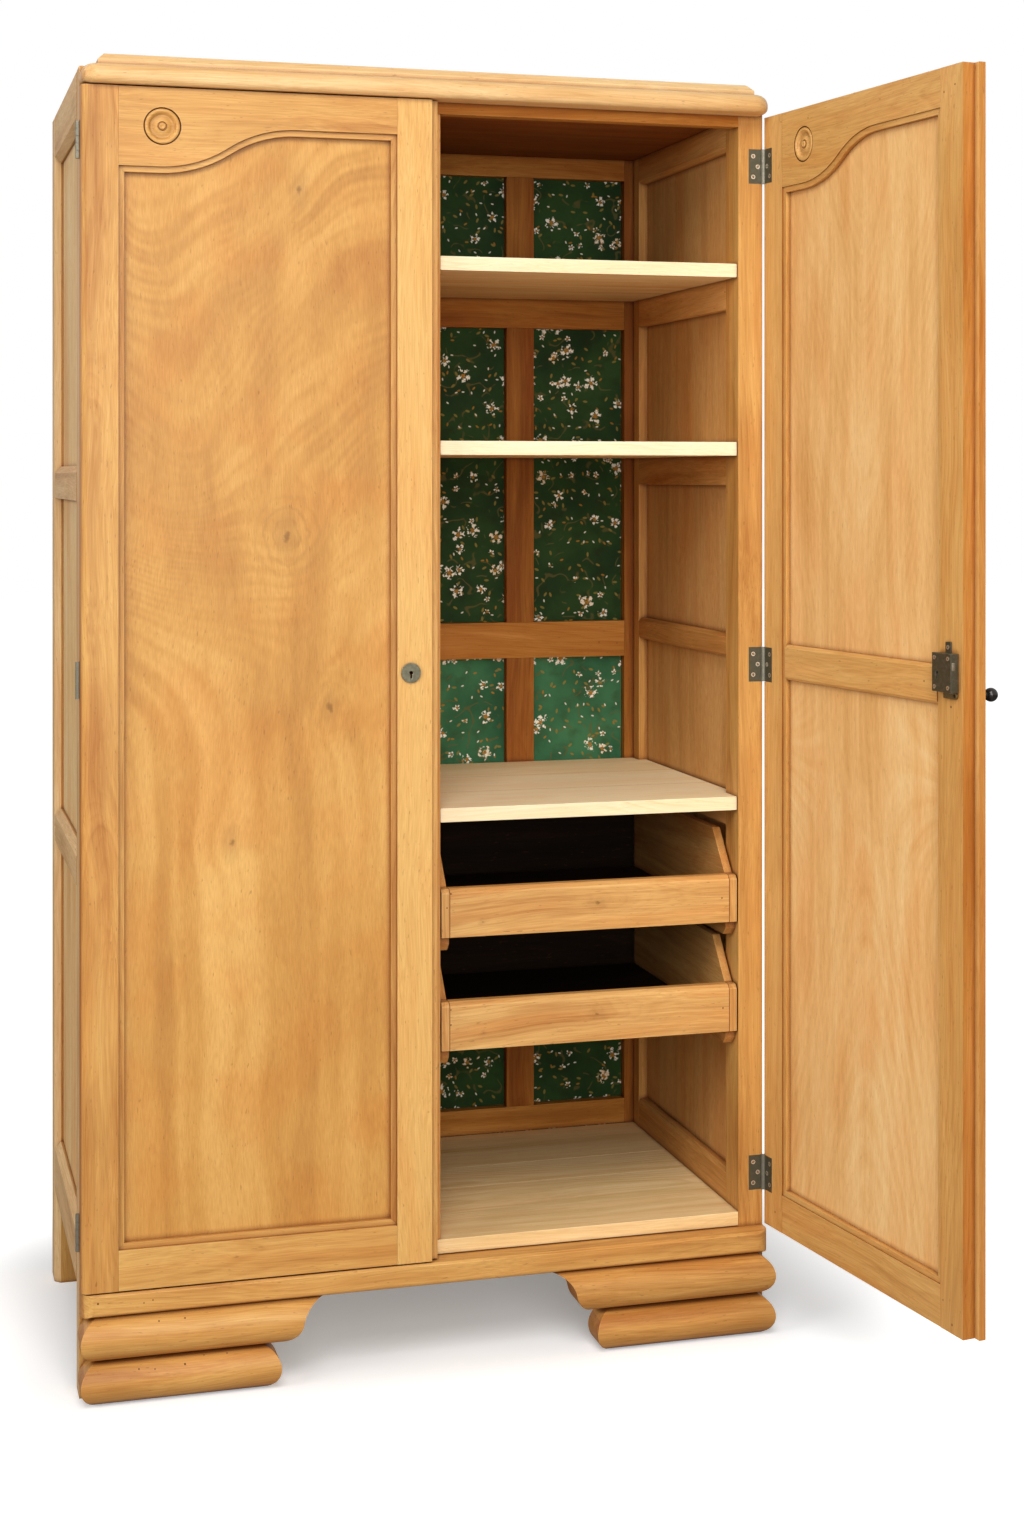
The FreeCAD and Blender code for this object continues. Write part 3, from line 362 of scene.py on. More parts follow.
    def fibres(self, wandering: Wire) -> tuple[Wire, Wire]:
        """Gives the fine fibres and the short dark flecks.

        The fibres are 1.5 mm wide here, wider than real ones, so that they show from a step away.
        """
        fleck = noise(wandering, 1.7, 9.0, 0.0).to("MapRange", 0.76, 0.84, 0.0, self.fleck_strength)
        return noise(wandering, 1.5, self.fibre_length_mm), fleck

    def marks(self, grain: Wire, fleck: Wire) -> Wire:
        """Adds the knots to the flecks, each a dark crooked eye in a faint brown ring."""
        spots = fleck
        crooked = ragged(grain) if self.knots else grain
        for knot in self.knots:
            reach = knot.reach(crooked, 0.5)
            for start, end, strength in self.knot_rings:
                spot = reach.to("MapRange.SMOOTHSTEP", knot.size * start * MM, knot.size * end * MM, strength, 0.0)
                spots = spots.to("Math.MAXIMUM", spot)
        return spots


class Flow(Enum):
    """How a veneer's figure runs."""

    UPRIGHT = "upright"
    SWEPT = "swept"
    FLAMED = "flamed"


@dataclass(frozen=True)
class FiguredVeneer(Timber):
    """Peeled veneer on a flat panel: wide soft bands that flow across it and bend round small knots."""

    flow: Flow = Flow.UPRIGHT
    band_mm: float = 42.0
    swirl_mm: float = 300.0
    swirl: float = 5.0
    calm_below: float = 0.35
    layers: tuple[tuple[float, float], ...] = ((1.0, 1.0), (2.3, 0.6), (5.9, 0.3))
    fibre_length_mm: float = 16.0

    def band(self, count: Wire) -> Wire:
        """Gives one soft wave per whole number, because peeled growth rings have no sharp edge."""
        return (count * math.tau).to("Math.SINE") * 0.5 + 0.5

    def growth(self, wandering: Wire) -> Wire:
        """Counts growth bands along the flow, bent by soft swirls and round every knot."""
        parts = wandering.to("SeparateXYZ")
        ways = {Flow.UPRIGHT: lambda x, z: x, Flow.SWEPT: self.swept, Flow.FLAMED: self.flamed}
        way = ways[self.flow](parts["X"], parts["Z"])
        amount = parts["Z"].to("MapRange.SMOOTHSTEP", -0.2, 0.3, self.swirl * self.calm_below, self.swirl)
        broad = noise(wandering, self.swirl_mm, self.swirl_mm * 1.25, 2.5)
        count = way * (PER_METRE / self.band_mm) + broad * amount
        crooked = ragged(wandering) if self.knots else wandering
        for knot in self.knots:
            count = count + knot.fade(knot.reach(crooked, 0.8), 12.0, knot.rings, "SMOOTHERSTEP")
        return count

    def marks(self, grain: Wire, fleck: Wire) -> Wire:
        """Adds the faint brown rings that grew round each knot."""
        spots = super().marks(grain, fleck)
        crooked = ragged(grain) if self.knots else grain
        for knot in self.knots:
            reach = knot.reach(crooked, 0.8)
            wave = (reach * (math.tau / (knot.size * 1.8 * MM))).to("Math.SINE")
            spots = spots.to("Math.MAXIMUM", wave * knot.fade(reach, 9.0, 0.12 * knot.rings))
        return spots

    def swept(self, x: Wire, z: Wire) -> Wire:
        """Lets the bands dip, climb to the right and level out above, and stand upright below."""
        slope = x * (x * -15.8 + 2.0) + 1.2
        share = z.to("MapRange.SMOOTHSTEP", -0.1, 0.3)
        return (z - x * slope - x) * share + x

    def flamed(self, x: Wire, z: Wire) -> Wire:
        """Nests the bands in tall points, downwards above and upwards below."""
        aside = (x.to("Math.POWER", 2.0) + 0.0006).to("Math.SQRT")
        return aside * z.to("MapRange.SMOOTHSTEP", -0.35, 0.1, 3.4, -2.8) + z


@dataclass(frozen=True)
class PrintedPaper(Finish):
    """Lining paper with small sprays of five-petalled flowers, slightly mottled and dull, browned by painted shade
    outside one bay.
    """

    ground: str = "#417950"
    ground_dark: str = "#275637"
    # Tint of the painted shade that browns the sheet
    aged: str = "#AE9E6C"
    ground_brown: str = "#354525"
    petal: str = "#F8F4E2"
    petal_warm: str = "#EED6B0"
    eye: str = "#A8772A"
    leaf: str = "#8E7C3A"
    twig: str = "#685C30"
    # Height of the lit bay that the painted shade spares, and where the shade starts and is full
    fresh_height: float = 857 * MM
    fresh_reach: tuple[float, float] = (95 * MM, 130 * MM)
    # How many patches each noise has in a metre
    mottle_scale: float = 9.0
    stain_scale: float = 34.0
    twig_scale: float = 22.0
    twig_gap_scale: float = 41.0
    torn_scale: float = 130.0
    uneven_scale: float = 300.0
    spray_mm: float = 55.0
    # Spacing and size in millimetres, share of bare cells, shift in cells
    buds: tuple[tuple[float, float, float, float], ...] = (
        (21.0, 4.2, 0.5, 1.3), (27.0, 3.4, 0.55, 5.9), (19.0, 2.6, 0.68, 8.1))
    # Spacing and radius in millimetres, share of bare cells, shift in cells
    blooms: tuple[tuple[float, float, float, float], ...] = (
        (25.0, 5.5, 0.72, 9.1), (38.0, 9.0, 0.6, 3.7), (50.0, 12.0, 0.5, 0.0))

    def surface(self, tree: bpy.types.NodeTree) -> Wire:
        """Lays stains, painted shade, twigs, leaves and flowers over the green ground."""
        parts = add(tree, "TexCoord")["Object"].to("SeparateXYZ")
        flat = parts["X"].to("CombineXYZ", parts["Z"])
        colour = flat.to("TexNoise", self.mottle_scale, 5.0).to("ValToRGB", stops=(
            (0.35, self.ground_dark), (0.62, self.ground)))
        stain = flat.to("TexNoise", self.stain_scale, 4.0).to("MapRange", 0.52, 0.75, 0.0, 0.6)
        colour = stain.to("Mix", colour, self.ground_brown)
        # Painted shade browns the sheet everywhere but the bay over the low shelf, right of the partition, which
        # stays lit green.
        away = (parts["Z"] - self.fresh_height).to("Math.ABSOLUTE")
        aged = away.to("MapRange.SMOOTHSTEP", *self.fresh_reach)
        aged = aged.to("Math.MAXIMUM", parts["X"].to("Math.LESS_THAN", CARCASS_MIDDLE))
        colour = aged.to("Mix.MULTIPLY", colour, self.aged)
        colour = self.sprigs(flat, self.twigs(flat, colour))
        for bloom in self.blooms:
            colour = self.flowers(flat, colour, *bloom)
        return colour.to("BsdfPrincipled", Roughness=0.7, Specular_IOR_Level=0.2)

    def cells(self, flat: Wire, spacing: float, shift: float) -> tuple[Wire, Wire, Wire]:
        """Scatters one point per cell.

        Args:
            flat: Place on the sheet in metres.
            spacing: Mean distance of the points in millimetres.
            shift: Moves the pattern, in cells.

        Returns:
            The offset from the nearest point in millimetres, that point's three random numbers and its place.
        """
        scaled = flat.to("Mapping", Location=(shift, shift * 1.7, 0.0), Scale=(PER_METRE / spacing,) * 3)
        points = scaled.to("TexVoronoi.2D", Scale=1.0, Randomness=0.9)
        offset = scaled.to("VectorMath.SUBTRACT", points["Position"]).to("VectorMath.SCALE", spacing)
        return offset, points["Color"].to("SeparateColor"), points["Position"]

    def flowers(self, flat: Wire, colour: Wire, spacing: float, radius: float, bare: float, shift: float) -> Wire:
        """Lays sprays of five-petalled flowers over a colour.

        Args:
            flat: Place on the sheet in metres.
            colour: What lies under the flowers.
            spacing: Mean distance of the flowers in millimetres.
            radius: Radius of a flower in millimetres.
            bare: Share of the cells without a flower.
            shift: Moves the pattern, in cells.

        Returns:
            The new colour.
        """
        offset, throws, spot = self.cells(flat, spacing, shift)
        spray = spot.to("TexNoise", spacing / self.spray_mm, 0.0).to("Math.GREATER_THAN", 0.43)
        shown = throws["Green"].to("Math.GREATER_THAN", bare) * spray
        offset = shaken(offset, flat, self.uneven_scale, 1.0, (radius * 0.75,) * 3)
        reach = offset.to("VectorMath.LENGTH")
        parts = offset.to("SeparateXYZ")
        turn = throws["Red"] * FULL_TURN + parts["Y"].to("Math.ARCTAN2", parts["X"])
        fold = turn.to("Math.WRAP", math.pi / 5, -math.pi / 5)
        out = (reach * fold.to("Math.COSINE") - radius * 0.64) / (radius * 0.34)
        aside = reach * fold.to("Math.SINE") / (radius * 0.27)
        petal = out.to("CombineXYZ", aside).to("VectorMath.LENGTH").to("MapRange", 1.1, 0.85)
        torn = flat.to("TexNoise", self.torn_scale, 1.0).to("MapRange", 0.42, 0.5)
        petals = throws["Blue"].to("MapRange", 0.78, 0.98).to("Mix", self.petal, self.petal_warm)
        colour = (petal * torn * shown).to("Mix", colour, petals)
        eye = reach.to("MapRange", radius * 0.36, radius * 0.24) * shown
        return eye.to("Mix", colour, self.eye)

    def twigs(self, flat: Wire, colour: Wire) -> Wire:
        """Draws thin broken twigs that wind between the sprays and returns the new colour."""
        course = flat.to("TexNoise", self.twig_scale, 1.0)
        line = (course - 0.5).to("Math.ABSOLUTE").to("MapRange", 0.02, 0.008)
        broken = flat.to("TexNoise", self.twig_gap_scale, 1.0).to("MapRange", 0.5, 0.55, 0.0, 0.6)
        return (line * broken).to("Mix", colour, self.twig)

    def sprigs(self, flat: Wire, colour: Wire) -> Wire:
        """Lays small leaves and buds between the flowers and returns the new colour."""
        for (spacing, size, bare, shift), code in zip(self.buds, (self.leaf, self.eye, self.petal)):
            offset, throws, _ = self.cells(flat, spacing, shift)
            turned = offset.to("VectorRotate.Z_AXIS", Angle=throws["Red"] * FULL_TURN)
            slim = turned.to("Mapping", Scale=(1 / size, 2.1 / size, 0.0))
            leaf = slim.to("VectorMath.LENGTH").to("MapRange", 1.1, 0.7, 0.0, 0.85)
            shown = throws["Green"].to("Math.GREATER_THAN", bare)
            colour = (leaf * shown).to("Mix", colour, code)
        return colour


@dataclass(frozen=True)
class AgedMetal(Finish):
    """Old iron or steel: a dull brown-grey skin, rubbed brighter in places and on its edges."""

    skin: str
    rubbed: str
    metallic: float = 0.85
    roughness: float = 0.45
    patch_mm: float = 6.0
    grit_scale: float = 1300.0
    rub: float = 0.5

    def surface(self, tree: bpy.types.NodeTree) -> Wire:
        """Lays rubbed patches over the skin and roughens it with fine grit."""
        place = add(tree, "TexCoord")["Object"]
        patches = place.to("TexNoise", PER_METRE / self.patch_mm, 5.0, 0.65)
        worn = patches.to("MapRange", 0.45, 0.72, 0.0, self.rub)
        worn = add(tree, "Attribute.worn")["Fac"].to("Math.MULTIPLY_ADD", 0.9, worn, use_clamp=True)
        colour = worn.to("Mix", self.skin, self.rubbed)
        rough = patches.to("MapRange", 0.3, 0.7, self.roughness + 0.12, self.roughness - 0.1)
        grit = place.to("TexNoise", self.grit_scale, 2.0)
        normal = add(tree, "Bump", Strength=0.3, Distance=0.1 * MM, Height=grit)
        return colour.to("BsdfPrincipled", Roughness=rough, Normal=normal, Metallic=self.metallic)


# Oiled beech gives the honey-coloured frames, rails and feet their warm, lively streaks.
OILED_BEECH = Timber("oiled_beech", "#E9BA6E", "#D7A258", "#B67C3A", streak_strength=0.65, cloud_strength=0.6,
                     warmth=0.22)
# The outer sides get a paler, drier copy of the beech, painted light for the light that falls on them.
LIT_SIDE_BEECH = Timber("lit_outer_side_beech", "#F6D6A2", "#E8C08A", "#C89C68", streak_strength=0.65, cloud_strength=0.6,
                    warmth=0.15, shine=0.1, roughness=0.55)
# The door's edges look reddish brown from years of hands.
DOOR_EDGE_BEECH = Timber("door_edge_beech", "#DC9C54", "#C8843C", "#A66222", streak_strength=0.6, shine=0.15)
# The cornice and the top get the palest copy of the beech outside, painted light for the light they catch from above.
TOP_LIT_BEECH = Timber("top_lit_beech", "#F8D8A0", "#EEC488", "#D6A25C", warmth=0.15)
# The doors' inner frames look evener than their fronts.
DOOR_BACK_BEECH = Timber("door_back_beech", "#ECBE76", "#DAA65E", "#BE8442", streak_mm=16.0, streak_strength=0.45,
                         warmth=0.2)
# The tray fronts show strong narrow streaks and one small knot in the middle.
TRAY_BEECH = Timber("tray_front_beech", "#EABE78", "#D8A662", "#B87E40", streak_mm=15.0, streak_strength=0.8,
                    knots=(Knot(4.0, 8.0, 3.6), Knot(-12.0, -160.0, 1.8)))
# Unfinished beech inside is a little darker, partly from age and partly as painted shade for the inside, and has no
# shine.
AGED_SHADED_BEECH = Timber("aged_shaded_inner_beech", "#E0A964", "#CA9250", "#A77134", roughness=0.55, shine=0.2)
# The shelf bearers are the same wood, each with a knot to catch the eye.
BEARER_BEECH = Timber("bearer_beech", "#E8B06A", "#D49A56", "#B07838", roughness=0.55, shine=0.2,
                      knots=(Knot(2.0, 60.0, 3.4),))
# The frame of the back reads as a dull red-brown grid before the green print.
BACK_BEECH = Timber("back_frame_beech", "#CE944A", "#B67830", "#90561E", roughness=0.6, shine=0.15)
# The ceiling gets the darkest copy of the beech as painted shade, so that the top of the inside sinks into shade.
SHADED_CEILING_BEECH = Timber("shaded_ceiling_beech", "#9E6026", "#884A1A", "#6C3810", roughness=0.6, shine=0.15)
# Scrubbed pine makes the shelves the palest, almost cream boards, with hardly any figure.
SCRUBBED_PINE = Timber("scrubbed_pine", "#FFF6D4", "#FFEBBE", "#F2D294", streak_strength=0.45, cloud_strength=0.3,
                       arch_strength=0.3, fibre_strength=0.1, fleck_strength=0.12, warmth=0.12, grime="#9A6E3E",
                       dirt_strength=0.5, roughness=0.6)
# The floor boards are a shade warmer than the shelves, with darker painted shade in their corners.
FLOOR_PINE = Timber("floor_pine", "#FFEDBE", "#FCDDA4", "#E6BE7A", streak_strength=0.55, cloud_strength=0.35,
                    arch_strength=0.3, fibre_strength=0.12, fleck_strength=0.12, warmth=0.12, grime="#8E6230",
                    dirt_strength=0.6, roughness=0.6)
# Below, the shelves get a darker, yellower copy of the pine, painted shade on their undersides.
SHADED_UNDER_PINE = Timber("shaded_shelf_underside_pine", "#F8DAA6", "#EECA90", "#D4AA6C", fleck_strength=0.1, roughness=0.6)
# A black-brown copy of the wood on the trays' plywood insides and bottoms is painted shade that turns them into dark
# pits.
TRAY_SHADE_PLY = Timber("painted_shade_tray_ply", "#2E1E0E", "#20150A", "#140C05", roughness=0.7, shine=0.1)
# The side panels' veneer stands upright in wide, pale, dry bands.
SIDE_VENEER = FiguredVeneer("side_veneer", "#FFE6B2", "#FCD496", "#E6B674", streak_mm=38.0,
                            streak_length_mm=1200.0, cloud_strength=0.8, arch_strength=0.12, shine=0.1,
                            roughness=0.55)
# From inside the same panels get a browner, darker and plainer copy of the veneer, painted shade for the inside.
SHADED_INSIDE_VENEER = FiguredVeneer("inside_side_veneer", "#E4B676", "#D6A464", "#B8864A", streak_mm=34.0,
                              streak_length_mm=900.0, streak_strength=0.45, arch_strength=0.07,
                              roughness=0.6, shine=0.15)
# The door's veneer draws the eye: bands sweep up to the right round four knots and calm down below.
DOOR_VENEER = FiguredVeneer("door_veneer", "#E8B668", "#D49D50", "#B07634", flow=Flow.SWEPT, streak_mm=60.0,
                            streak_length_mm=200.0, streak_strength=0.25, cloud_mm=110.0, cloud_strength=0.6,
                            swirl=6.5, layers=((0.3, 2.0), (1.0, 1.3), (2.3, 0.6)), arch_strength=0.12,
                            fibre_strength=0.16, fleck_strength=0.3, warmth=0.2,
                            knots=(Knot(55.0, 669.0, 7.0, 0.3), Knot(38.0, 198.0, 7.5, 1.8),
                                   Knot(98.0, -36.0, 6.5, 0.8), Knot(-38.0, -214.0, 6.0, 0.4)))
# Inside the doors a paler veneer rises in tall flames.
INNER_VENEER = FiguredVeneer("door_inner_veneer", "#FFDC9E", "#F5C582", "#DAA058", flow=Flow.FLAMED,
                             calm_below=1.0, streak_mm=30.0, streak_length_mm=420.0, streak_strength=0.5,
                             cloud_mm=110.0, cloud_strength=0.6, band_mm=75.0, swirl_mm=240.0, swirl=2.2,
                             arch_strength=0.12, fibre_strength=0.14, fleck_strength=0.2, warmth=0.18)
# The bare rear of the back sheet is a plain greyish board.
BACK_BOARD = FiguredVeneer("plain_back_board", "#D8B284", "#C69E6E", "#AC8252", streak_mm=40.0,
                           streak_length_mm=1100.0, arch_strength=0.14, roughness=0.7, shine=0.1)
# Dark green lining paper with cream sprays gives the inside its only strong colour.
PRINTED_PAPER = PrintedPaper("printed_lining_paper")
# Hinge leaves look dull and brown-grey, their barrels rubbed bright.
HINGE_STEEL = AgedMetal("aged_hinge_steel", "#565240", "#7C7768", metallic=0.6, rub=0.2)
# Screw heads are small light dots.
SCREW_STEEL = AgedMetal("old_screw_steel", "#9A8E78", "#F0E6D2", roughness=0.35)
# The lock case is nearly black with bright edges.
LOCK_STEEL = AgedMetal("blackened_lock_steel", "#56523F", "#D8D2C0", metallic=0.7, roughness=0.4, rub=0.1)
# The round key plates have a soft blue-grey sheen.
PLATE_STEEL = AgedMetal("blued_plate_steel", "#625E4C", "#8C8872", roughness=0.38)
# Black iron lets the ball knob show one sharp highlight.
KNOB_IRON = AgedMetal("turned_iron", "#1C1612", "#302820", metallic=0.2, roughness=0.25)
# The catch is a yellowish brown arm.
CATCH_BRASS = AgedMetal("browned_catch_brass", "#6B5E40", "#988858", metallic=0.7, roughness=0.45)
# Drawn steel makes the hanging rail a clean bright line.
RAIL_STEEL = AgedMetal("drawn_steel_tube", "#8A8C8C", "#B9BBBA", metallic=1.0, roughness=0.3, rub=0.3)
# Dark filler makes nail holes read as tiny brown dots; the same colour paints screw slots as thin lines of painted
# shade.
FILLER_AND_SLOT_SHADE = AgedMetal("nail_filler_and_slot_shade", "#5E3616", "#7C4C22", metallic=0.0, roughness=0.9)


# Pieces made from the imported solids


class Grain(Enum):
    """Which way a board's grain runs."""

    LONGEST = -1
    ACROSS = 0
    UP = 2


class Side(Enum):
    """Which side of a board has a finish of its own."""

    FRONT = "front"
    BACK = "back"
    EDGE = "edge"
    INSIDE = "inside"
    OUTSIDE = "outside"
    UNDER = "under"

    def holds(self, normal: Vector, middle: Vector) -> bool:
        """Tells whether a face with this normal and middle lies on the side."""
        outward = normal.x * math.copysign(1.0, middle.x - CARCASS_MIDDLE)
        return {
            Side.FRONT: normal.y < -0.9, Side.BACK: normal.y > 0.5, Side.EDGE: abs(normal.x) > 0.9,
            Side.INSIDE: outward < -0.5, Side.OUTSIDE: outward > 0.5, Side.UNDER: normal.z < -0.5,
        }[self]


# Sides that have a finish of their own, and joint lines: the axis across each and its place along that axis
Sides = tuple[tuple[Side, Finish], ...]
Seams = tuple[tuple[int, float], ...]


def along_axis(axis: int) -> Vector:
    """Gives the direction of an axis."""
    return Vector([float(i == axis) for i in range(3)])


def linked(name: str, data: bpy.types.ID) -> bpy.types.Object:
    """Puts an object with this data into the scene."""
    made = bpy.data.objects.new(name, data)
    bpy.context.scene.collection.objects.link(made)
    return made


def placed(form: bmesh.types.BMesh, name: str, mesh_name: str) -> bpy.types.Object:
    """Puts a form into the scene and frees it."""
    mesh = bpy.data.meshes.new(mesh_name)
    form.to_mesh(mesh)
    form.free()
    return linked(name, mesh)


def rounded(form: bmesh.types.BMesh, edges: list, width: float, segments: int, clamped: bool = False) -> list:
    """Bevels edges.

    Args:
        form: The mesh.
        edges: Its edges to be rounded.
        width: Width of the bevel in metres.
        segments: How many facets it has.
        clamped: True keeps the bevels of close edges apart.

    Returns:
        The new faces.
    """
    return bmesh.ops.bevel(form, geom=edges, offset=width, offset_type="OFFSET", segments=segments, profile=0.5,
                           affect="EDGES", material=-1, clamp_overlap=clamped)["faces"]


@dataclass
class Bench:
    """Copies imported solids, eases their edges and marks each board's grain."""

    bodies: dict[str, str]
    closing: dict[str, Matrix]
    hinge_axes: tuple[tuple[float, float], ...]
    finishes: dict[str, bpy.types.Material] = field(default_factory=dict)
    made: dict[str, bpy.types.Object] = field(default_factory=dict)
    seam_width: float = 1.0 * MM
    barrel_reach: float = 4.3 * MM
    steps_per_mm: int = 1000
    joined_within: float = 0.002 * MM
    flat_within: float = math.radians(0.6)
    sharp_from: float = math.radians(32)
    smooth_below: float = math.radians(36)
    head_corners: int = 8
    end_grain_from: float = 0.8

    def finish(self, finish: Finish) -> bpy.types.Material:
        """Gives the one material of a finish."""
        if finish.name not in self.finishes:
            self.finishes[finish.name] = finish.material()
        return self.finishes[finish.name]

    def to_closed(self, node: str) -> Matrix:
        """Gives the turn that shuts the door a node is on."""
        return self.closing.get(self.bodies[node], Matrix.Identity(4))

    def solids(self, mesh: bpy.types.Mesh) -> list[int]:
        """Numbers each face's solid. Faces come solid by solid, and each solid closes on itself."""
        waiting = set()
        numbers = []
        number = 0
        for polygon in mesh.polygons:
            corners = [tuple(round(c / MM * self.steps_per_mm) for c in mesh.vertices[i].co)
                       for i in polygon.vertices]
            for first, last in zip(corners, corners[1:] + corners[:1]):
                if (last, first) in waiting:
                    waiting.remove((last, first))
                elif first != last:
                    waiting.add((first, last))
            numbers.append(number)
            if not waiting:
                number += 1
        return numbers

    def eased(self, node: str, ease_mm: float, segments: int = 2) -> bmesh.types.BMesh:
        """Copies a node, joins its triangles into flat faces and eases its sharp outer edges.

        Args:
            node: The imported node.
            ease_mm: Width of the easing, or 0 for none.
            segments: How many facets the easing has.

        Returns:
            The new mesh.
        """
        source = frame["nodes"][node].data
        form = bmesh.new()
        form.from_mesh(source)
        groups = {}
        for face, number in zip(form.faces, self.solids(source)):
            groups.setdefault(number, {}).update(dict.fromkeys(face.verts))
        for corners in groups.values():
            bmesh.ops.remove_doubles(form, verts=list(corners), dist=self.joined_within)
        bmesh.ops.dissolve_limit(form, angle_limit=self.flat_within, verts=form.verts, edges=form.edges)
        sharp = [e for e in form.edges
                 if len(e.link_faces) == 2 and e.calc_face_angle_signed(0) > self.sharp_from]
        # Eased faces are marked: wood paints them paler as a highlight, metal shows them rubbed bright by wear.
        worn = form.faces.layers.float.new("worn")
        if ease_mm:
            for face in rounded(form, sharp, ease_mm * MM, segments, clamped=True):
                face[worn] = 1.0
        return form

    def score(self, form: bmesh.types.BMesh, seams: Seams) -> None:
        """Marks a thin joint line at every seam."""
        line = form.faces.layers.float.new("seam")
        for axis, place in seams:
            normal = along_axis(axis)
            for side in (-0.5, 0.5):
                bmesh.ops.bisect_plane(form, geom=form.verts[:] + form.edges[:] + form.faces[:], dist=0.01 * MM,
                                       plane_co=normal * (place + side * self.seam_width), plane_no=normal)
        for face in form.faces:
            middle = face.calc_center_median()
            if any(abs(middle[axis] - place) < 0.5 * self.seam_width for axis, place in seams):
                face[line] = 1.0

    def boards(self, form: bmesh.types.BMesh, to_closed: Matrix, seams: Seams) -> list:
        """Finds the boards: the loose parts, parted again at the seams.

        Args:
            form: The mesh.
            to_closed: The turn that shuts the door.
            seams: The joint lines.

        Returns:
            For each board from left to right its vertices and their places with the doors shut.
        """
        left = dict.fromkeys(form.verts)
        found = []
        while left:
            part = [left.popitem()[0]]
            for vert in part:
                for edge in vert.link_edges:
                    other = edge.other_vert(vert)
                    if other in left:
                        del left[other]
                        part.append(other)
            groups = {}
            for vert in part:
                point = to_closed @ vert.co
                key = tuple(point[axis] > place for axis, place in seams)
                groups.setdefault(key, []).append((vert, point))
            found.extend(groups.values())
        return sorted(found, key=lambda board: min(tuple(round(c, 4) for c in point) for _, point in board))

    def mark_grain(self, form: bmesh.types.BMesh, node: str, grain: Grain, steady: bool = False,
                   tones: tuple[float, ...] = (), seams: Seams = ()) -> None:
        """Gives every board its own grain coordinates, its tone and its end grain.

        Args:
            form: The mesh.
            node: The node's name, which seeds the chance values.
            grain: The direction of the grain.
            steady: True keeps the coordinates centred on the board.
            tones: The tones of the first boards from the left, 0.5 in the middle.
            seams: The joint lines.
        """
        to_closed = self.to_closed(node)
        places = form.verts.layers.float_vector.new("grain")
        shades = form.verts.layers.float.new("tone")
        ends = form.faces.layers.float.new("end_grain")
        for order, board in enumerate(self.boards(form, to_closed, seams)):
            low = [min(point[i] for _, point in board) for i in range(3)]
            high = [max(point[i] for _, point in board) for i in range(3)]
            sizes = [b - a for a, b in zip(low, high)]
            along = sizes.index(max(sizes)) if grain is Grain.LONGEST else grain.value
            others = sorted((i for i in range(3) if i != along), key=lambda i: -sizes[i])
            chance = random.Random(node + str(round(low[0] + 3 * low[1] + 7 * low[2], 3)))
            shift = [chance.uniform(-0.05, 0.05), chance.uniform(0.02, 0.07), chance.uniform(-4, 4)]
            tone = 0.5 + chance.uniform(-0.12, 0.12)
            if steady:
                shift = [0.0, shift[1], 0.0]
                tone = 0.5
            if order < len(tones):
                tone = tones[order]
            for vert, point in board:
                here = [point[i] - (low[i] + high[i]) / 2 for i in (*others, along)]
                vert[places] = Vector([a + b for a, b in zip(here, shift)])
                vert[shades] = tone
            direction = to_closed.to_3x3().inverted() @ along_axis(along)
            for face in {f for vert, _ in board for f in vert.link_faces}:
                face[ends] = 1.0 if abs(face.normal.dot(direction)) > self.end_grain_from else 0.0

    def wood(self, node: str, finish: Timber, ease_mm: float = 0.0, grain: Grain = Grain.LONGEST,
             steady: bool = False, sides: Sides = (), tones: tuple[float, ...] = (), seams: Seams = (),
             segments: int = 2) -> None:
        """Replaces a wooden node with its eased and grained copy.

        Args:
            node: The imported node.
            finish: The timber's finish.
            ease_mm: Width of the eased edges.
            grain: Direction of the grain.
            steady: True centres the figure on the board.
            sides: Sides of the boards, with the doors shut, that have another finish.
            tones: The tones of the first boards from the left.
            seams: The joint lines.
            segments: How many facets the eased edges have.
        """
        form = self.eased(node, ease_mm, segments)
        self.score(form, seams)
        form.normal_update()
        self.mark_grain(form, node, grain, steady, tones, seams)
        to_closed = self.to_closed(node)
        for slot, (side, _) in enumerate(sides, start=1):
            for face in form.faces:
                if side.holds(to_closed.to_3x3() @ face.normal, to_closed @ face.calc_center_median()):
                    face.material_index = slot
        self.put(form, node, finish, *(other for _, other in sides))

    def metal(self, node: str, finish: AgedMetal, ease_mm: float = 0.0) -> None:
        """Replaces a metal node with its eased copy, its hinge barrels rubbed bright."""
        form = self.eased(node, ease_mm)
        worn = form.faces.layers.float["worn"]
        for face in form.faces:
            middle = face.calc_center_median()
            if any(math.hypot(middle.x - x, middle.y - y) < self.barrel_reach for x, y in self.hinge_axes):
                face[worn] = 1.0
        self.put(form, node, finish)

    def screws(self, node: str, least_area: float = 15.0 * MM * MM) -> None:
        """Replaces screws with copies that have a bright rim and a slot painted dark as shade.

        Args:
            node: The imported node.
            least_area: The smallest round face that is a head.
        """
        form = self.eased(node, 0.0)
        form.normal_update()
        worn = form.faces.layers.float["worn"]
        chance = random.Random(node)
        heads = [f for f in form.faces if len(f.verts) > self.head_corners and f.calc_area() > least_area]
        slots = []
        for head in heads:
            middle = head.calc_center_median()
            radius = max((vert.co - middle).length for vert in head.verts)
            turn = head.normal.to_track_quat("Z", "Y").to_matrix().to_4x4()
            turn = turn @ Matrix.Rotation(chance.uniform(0.2, 2.9), 4, "Z")
            size = Matrix.Diagonal((radius * 1.5, radius * 0.28, 0.1 * MM, 1.0))
            slots.append(Matrix.Translation(middle) @ turn @ size)
            for face in bmesh.ops.inset_individual(form, faces=[head], thickness=radius * 0.3)["faces"]:
                face[worn] = 1.0
